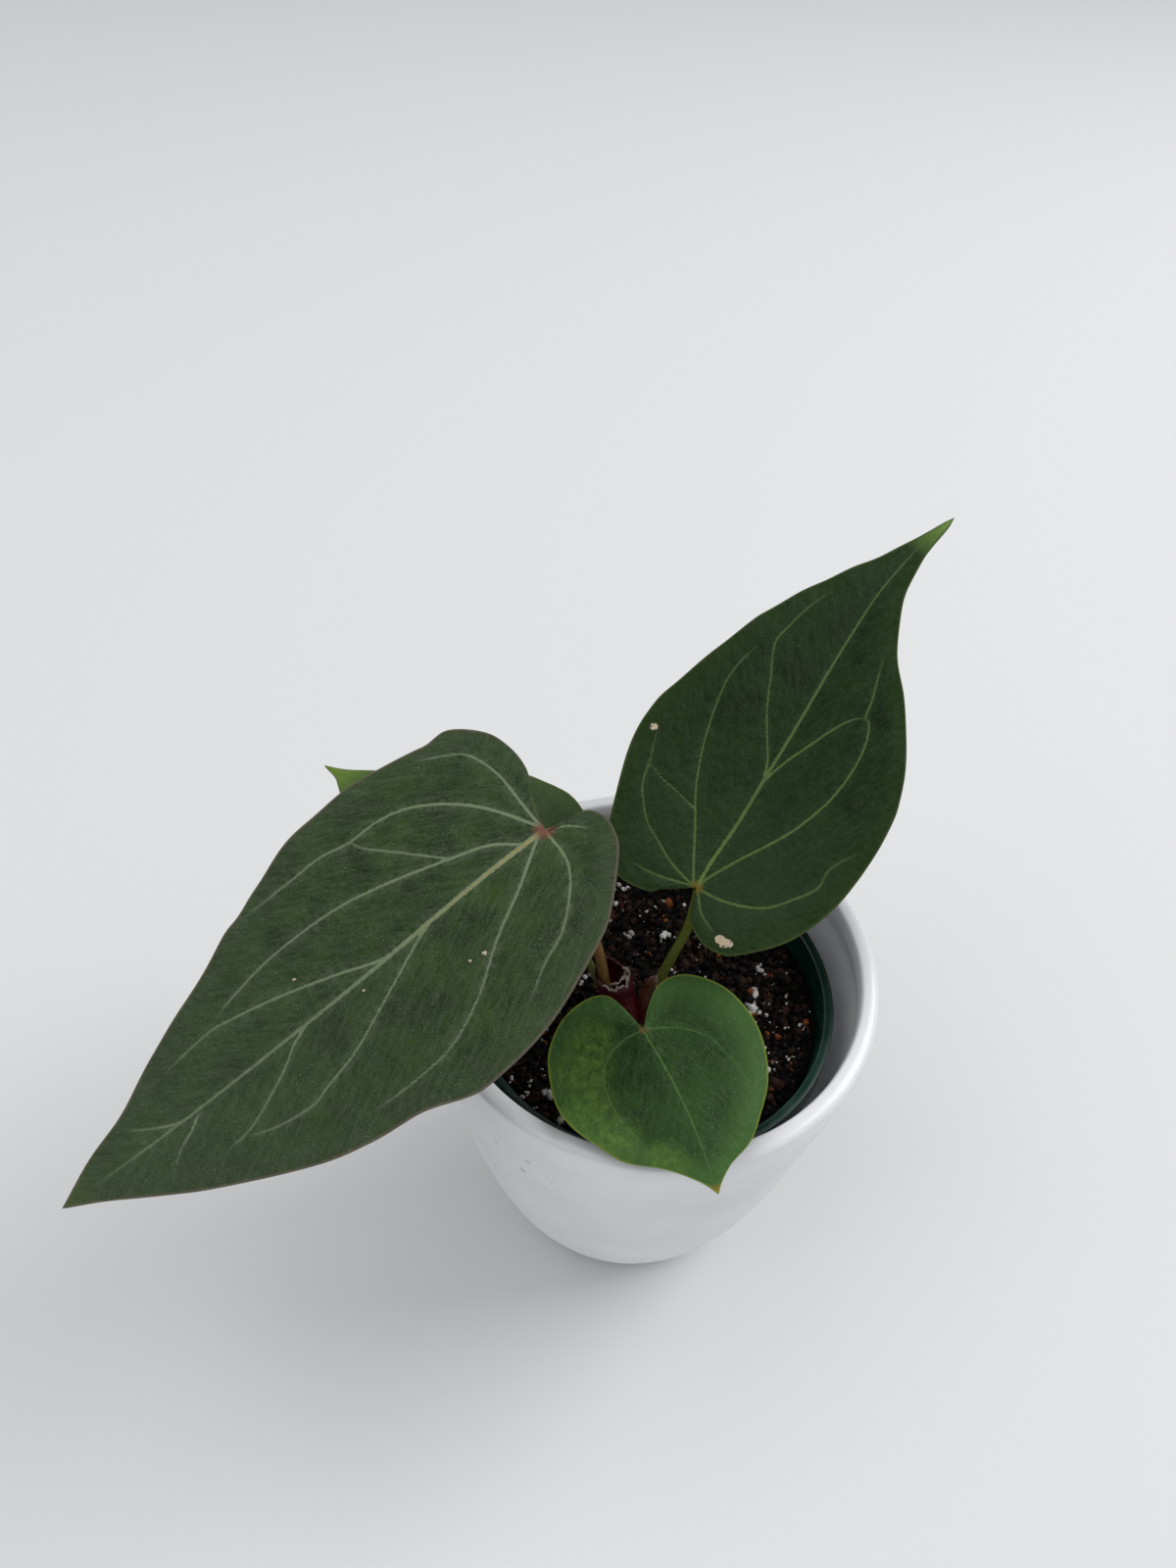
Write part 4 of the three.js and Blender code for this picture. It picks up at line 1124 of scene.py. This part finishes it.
RIGHT_VEINS = [
    (0.6, 0.25, [
        [0, 0], [0.06, -0.1], [0.149, 0.8], [0.25, 1.2], [0.335, 1.7], [0.427, 1.9],
        [0.523, 1.8], [0.621, 1.5], [0.719, 0.9], [0.809, 0.7], [0.92, 0.3],
    ]),
    (0.42, 0.25, [
        [0, 0.6], [0.024, 1.1], [0.085, 5.8], [0.131, 10.1], [0.179, 14.2], [0.219, 16.7],
        [0.262, 18.9], [0.318, 20.4], [0.371, 20.7], [0.415, 19.8], [0.442, 18.2], [0.446, 17],
        [0.49, 16.1], [0.541, 14.3], [0.6, 12.4],
    ]),
    (0.36, 0.25, [
        [0.2, 0.8], [0.235, 1.2], [0.289, 3.7], [0.347, 7.6], [0.387, 10.3], [0.414, 12.5],
        [0.435, 14.8], [0.446, 17.4],
    ]),
    (0.36, 0.2, [
        [0.25, 0.6], [0.28, -0.6], [0.32, -4], [0.366, -7.7], [0.424, -11.3], [0.487, -15.2],
        [0.532, -14.5], [0.587, -13.1], [0.66, -10],
    ]),
    (0.42, 0.2, [
        [0, -0.8], [0.045, -4.6], [0.097, -8.6], [0.156, -13.3], [0.212, -16.5], [0.263, -18.6],
        [0.317, -20.2], [0.365, -21.1], [0.41, -20.7], [0.465, -18.7],
    ]),
    (0.38, 0.2, [
        [0, -1], [0.014, -9], [0.036, -15.1], [0.054, -19.8], [0.086, -23.9], [0.115, -26.4],
        [0.151, -27.5], [0.18, -28.8], [0.215, -30.4],
    ]),
    (0.28, 0.22, [[0.124, -11.2], [0.134, -17.9], [0.139, -22.5], [0.151, -27.6]]),
    (0.34, 0.2, [[0, -1], [-0.021, -10.4], [-0.027, -17.4]]),
    (0.42, 0.2, [
        [0, 1], [0.006, 8.8], [0.03, 17.4], [0.07, 22.9], [0.107, 26.7], [0.149, 27.2],
        [0.2, 31.8],
    ]),
    (0.34, 0.2, [[0, 0.5], [-0.036, 4.7], [-0.055, 10]]),
]

blade_right = blade(
    "blade_right_lamina", RIGHT_MIDRIB, RIGHT_OUTLINE, RIGHT_VEINS,
    roll=(-15, -15), fold=8, cells=(150, 270), finest=0.33,
    corky=[[0.213, -31.4, 1], [-0.06, 12, 1.1], [-0.062, 13.4, 1.3], [-0.058, 14.6, 1]],
)
# The fade towards its foot and the border tone on its outer part are painted light and shade. The paler
# tip is partly the leaf's own colour and partly a painted highlight.
right_skin = leaf_tissue(
    "velvet_leaf_green_veined",
    tones=("#0c1c03", "#172b07", "#2e4129"),
    veins=("#6f843a", "#5a713f"),
    fade=("#36462b", 45, -10),
    tip=("#779a4c", 130, 151),
    border_tone_and_shading=("#20330a", 7),
    joint=("#6a561e", 2.2),
    edge="#3f4d26",
    dust=0.25,
    shine=0.06,
)
settle(blade_right, "leaf_right", right_skin, "blade_right")
blade_right.data.materials.append(pale_under)


# Front blade: the youngest leaf, small and heart shaped, thinner and a fresher green, with
# yellow-green patches towards its edge and a speckling of dust.
FRONT_MIDRIB = [[-3, -30.5, 130], [5.5, -45.5, 131], [10.5, -57, 130], [15.5, -69, 124.5]]
FRONT_OUTLINE = {
    1: [
        [-0.13, 0.8], [-0.26, 3.2], [-0.3, 9], [-0.26, 17], [-0.12, 24], [0.1, 27.6],
        [0.3, 26.8], [0.5, 22.7], [0.66, 18], [0.78, 10], [0.91, 3.3],
    ],
    -1: [
        [-0.11, 4.5], [-0.21, 11], [-0.21, 18.5], [-0.08, 25.3], [0.1, 27.8], [0.3, 26.3],
        [0.5, 22.5], [0.66, 17], [0.79, 11.8], [0.87, 5.5], [0.95, 1.5],
    ],
}
FRONT_VEINS = [
    (0.3, 0.2, [[0, 0], [0.3, 0], [0.6, 0], [0.95, 0]]),
    (0.24, 0.15, [
        [0, -0.5], [0.033, -5.9], [0.096, -11.2], [0.181, -14.7], [0.286, -16.1], [0.356, -17.1],
        [0.5, -17.6],
    ]),
    (0.24, 0.15, [
        [0, 0.4], [-0.005, 4.5], [0.02, 9.1], [0.071, 12.6], [0.144, 14.6], [0.249, 15.7],
        [0.373, 15.4], [0.526, 13.7], [0.643, 11.8],
    ]),
]

blade_front = blade(
    "blade_front_lamina", FRONT_MIDRIB, FRONT_OUTLINE, FRONT_VEINS,
    roll=(-5, -5), fold=-8, cells=(180, 200), finest=0.2,
    yellow=[[0.04, 18, 7], [0.25, 22, 7], [-0.08, 13, 6], [0.5, 20, 7], [0.75, 10, 5]],
)
# The paler border tone round its outer part is painted light.
front_skin = leaf_tissue(
    "young_leaf",
    tones=("#122a09", "#234012", "#405d35"),
    veins=("#7a8a4e", "#587a3c"),
    fade=("#365a22", 15, 45),
    tip=("#b5882a", 41, 44),
    border_tone_and_shading=("#4c7038", 13),
    joint=("#6e5a34", 1.6),
    edge="#76862f",
    dust=0.7,
    shine=0.12,
)
fresh_under = leaf_underside("young_leaf_underside", field="#6d8a4c", rib="#93a86a")
settle(blade_front, "leaf_front", front_skin, "blade_front")
blade_front.data.materials.append(fresh_under)


# Back blade: a mid-sized leathery leaf, mid green with a pale yellow-green tip. It lies behind
# the left blade, which hides most of it.
BACK_MIDRIB = [[-34.5, 18.5, 134], [-54, 21.5, 139], [-76, 34.5, 135], [-102, 59, 124]]
BACK_OUTLINE = {
    1: [
        [-0.1, 2.5], [-0.2, 9], [-0.21, 17], [-0.13, 24], [0, 27.8], [0.2, 27.6], [0.37, 25.8],
        [0.55, 21.5], [0.82, 7.5],
    ],
    -1: [
        [-0.1, 2.5], [-0.2, 9], [-0.2, 17], [-0.12, 23.5], [0.02, 27.3], [0.2, 27.2],
        [0.37, 25.2], [0.53, 20.8], [0.8, 8], [0.92, 1.9],
    ],
}
BACK_VEINS = [
    (0.5, 0.2, [[0, 0], [0.3, 0], [0.6, 0], [0.96, 0]]),
    *(
        vein
        for side in (1, -1)
        for vein in (
            (0.4, 0.15, [
                [0, 0.5 * side], [0.12, 8 * side], [0.3, 13.5 * side], [0.5, 14.5 * side],
                [0.68, 11 * side],
            ]),
            (0.4, 0.15, [[0, 0.8 * side], [0.03, 11 * side], [0.12, 19 * side], [0.3, 22 * side]]),
            (0.3, 0.15, [[0, side], [-0.06, 9 * side], [-0.06, 17 * side]]),
            (0.3, 0.15, [[0.25, 0], [0.42, 4.5 * side], [0.6, 7 * side], [0.8, 5 * side]]),
        )
    ),
]

blade_back = blade(
    "blade_back_lamina", BACK_MIDRIB, BACK_OUTLINE, BACK_VEINS,
    roll=(0, 0), fold=3, cells=(100, 150), finest=0.35,
)
back_skin = leaf_tissue(
    "mid_green_leaf",
    tones=("#283d14", "#385023", "#4d603a"),
    veins=("#7c8a55", "#54693a"),
    fade=("#4a6a1e", 50, 85),
    tip=("#6f9018", 60, 82),
    border_tone_and_shading=("#3f5726", 7),
    joint=("#5a5530", 3),
    edge="#566b30",
    dust=0.4,
    shine=0.2,
)
settle(blade_back, "leaf_back", back_skin, "blade_back")
blade_back.data.materials.append(fresh_under)


# Floor and light: a plain pale floor, a broad soft light from the upper right and behind, as
# from a window, and an even fill from a pale room.
bpy.ops.mesh.primitive_plane_add(size=9)
floor = bpy.context.object
floor.name = "pale_floor"
board = {"Base Color": "#e9e9e9", "Roughness": 1, "Specular IOR Level": 0}
floor.data.materials.append(new_material("matt_pale_board", board)[0])


def soft_light(name, place, aim, size, power):
    """A square lamp of a size in metres and a power in watts, turned to its aim."""
    bpy.ops.object.light_add(type="AREA", location=place)
    lamp = bpy.context.object
    lamp.name = name
    lamp.rotation_euler = (Vector(aim) - Vector(place)).to_track_quat("-Z", "Y").to_euler()
    lamp.data.size = size
    lamp.data.energy = power


soft_light("window", place=(1.6, 0.6, 1.7), aim=(0, 0, 0.1), size=1.5, power=27)
soft_light("ceiling", place=(-0.9, -0.1, 2.4), aim=(0, 0, 0), size=2.2, power=24)
room = bpy.context.scene.world or bpy.data.worlds.new("room")
bpy.context.scene.world = room
room.use_nodes = True
set_up(room.node_tree.nodes["Background"], {"Color": "#eef0f3", "Strength": 0.42})
bpy.context.scene.view_settings.view_transform = "Standard"
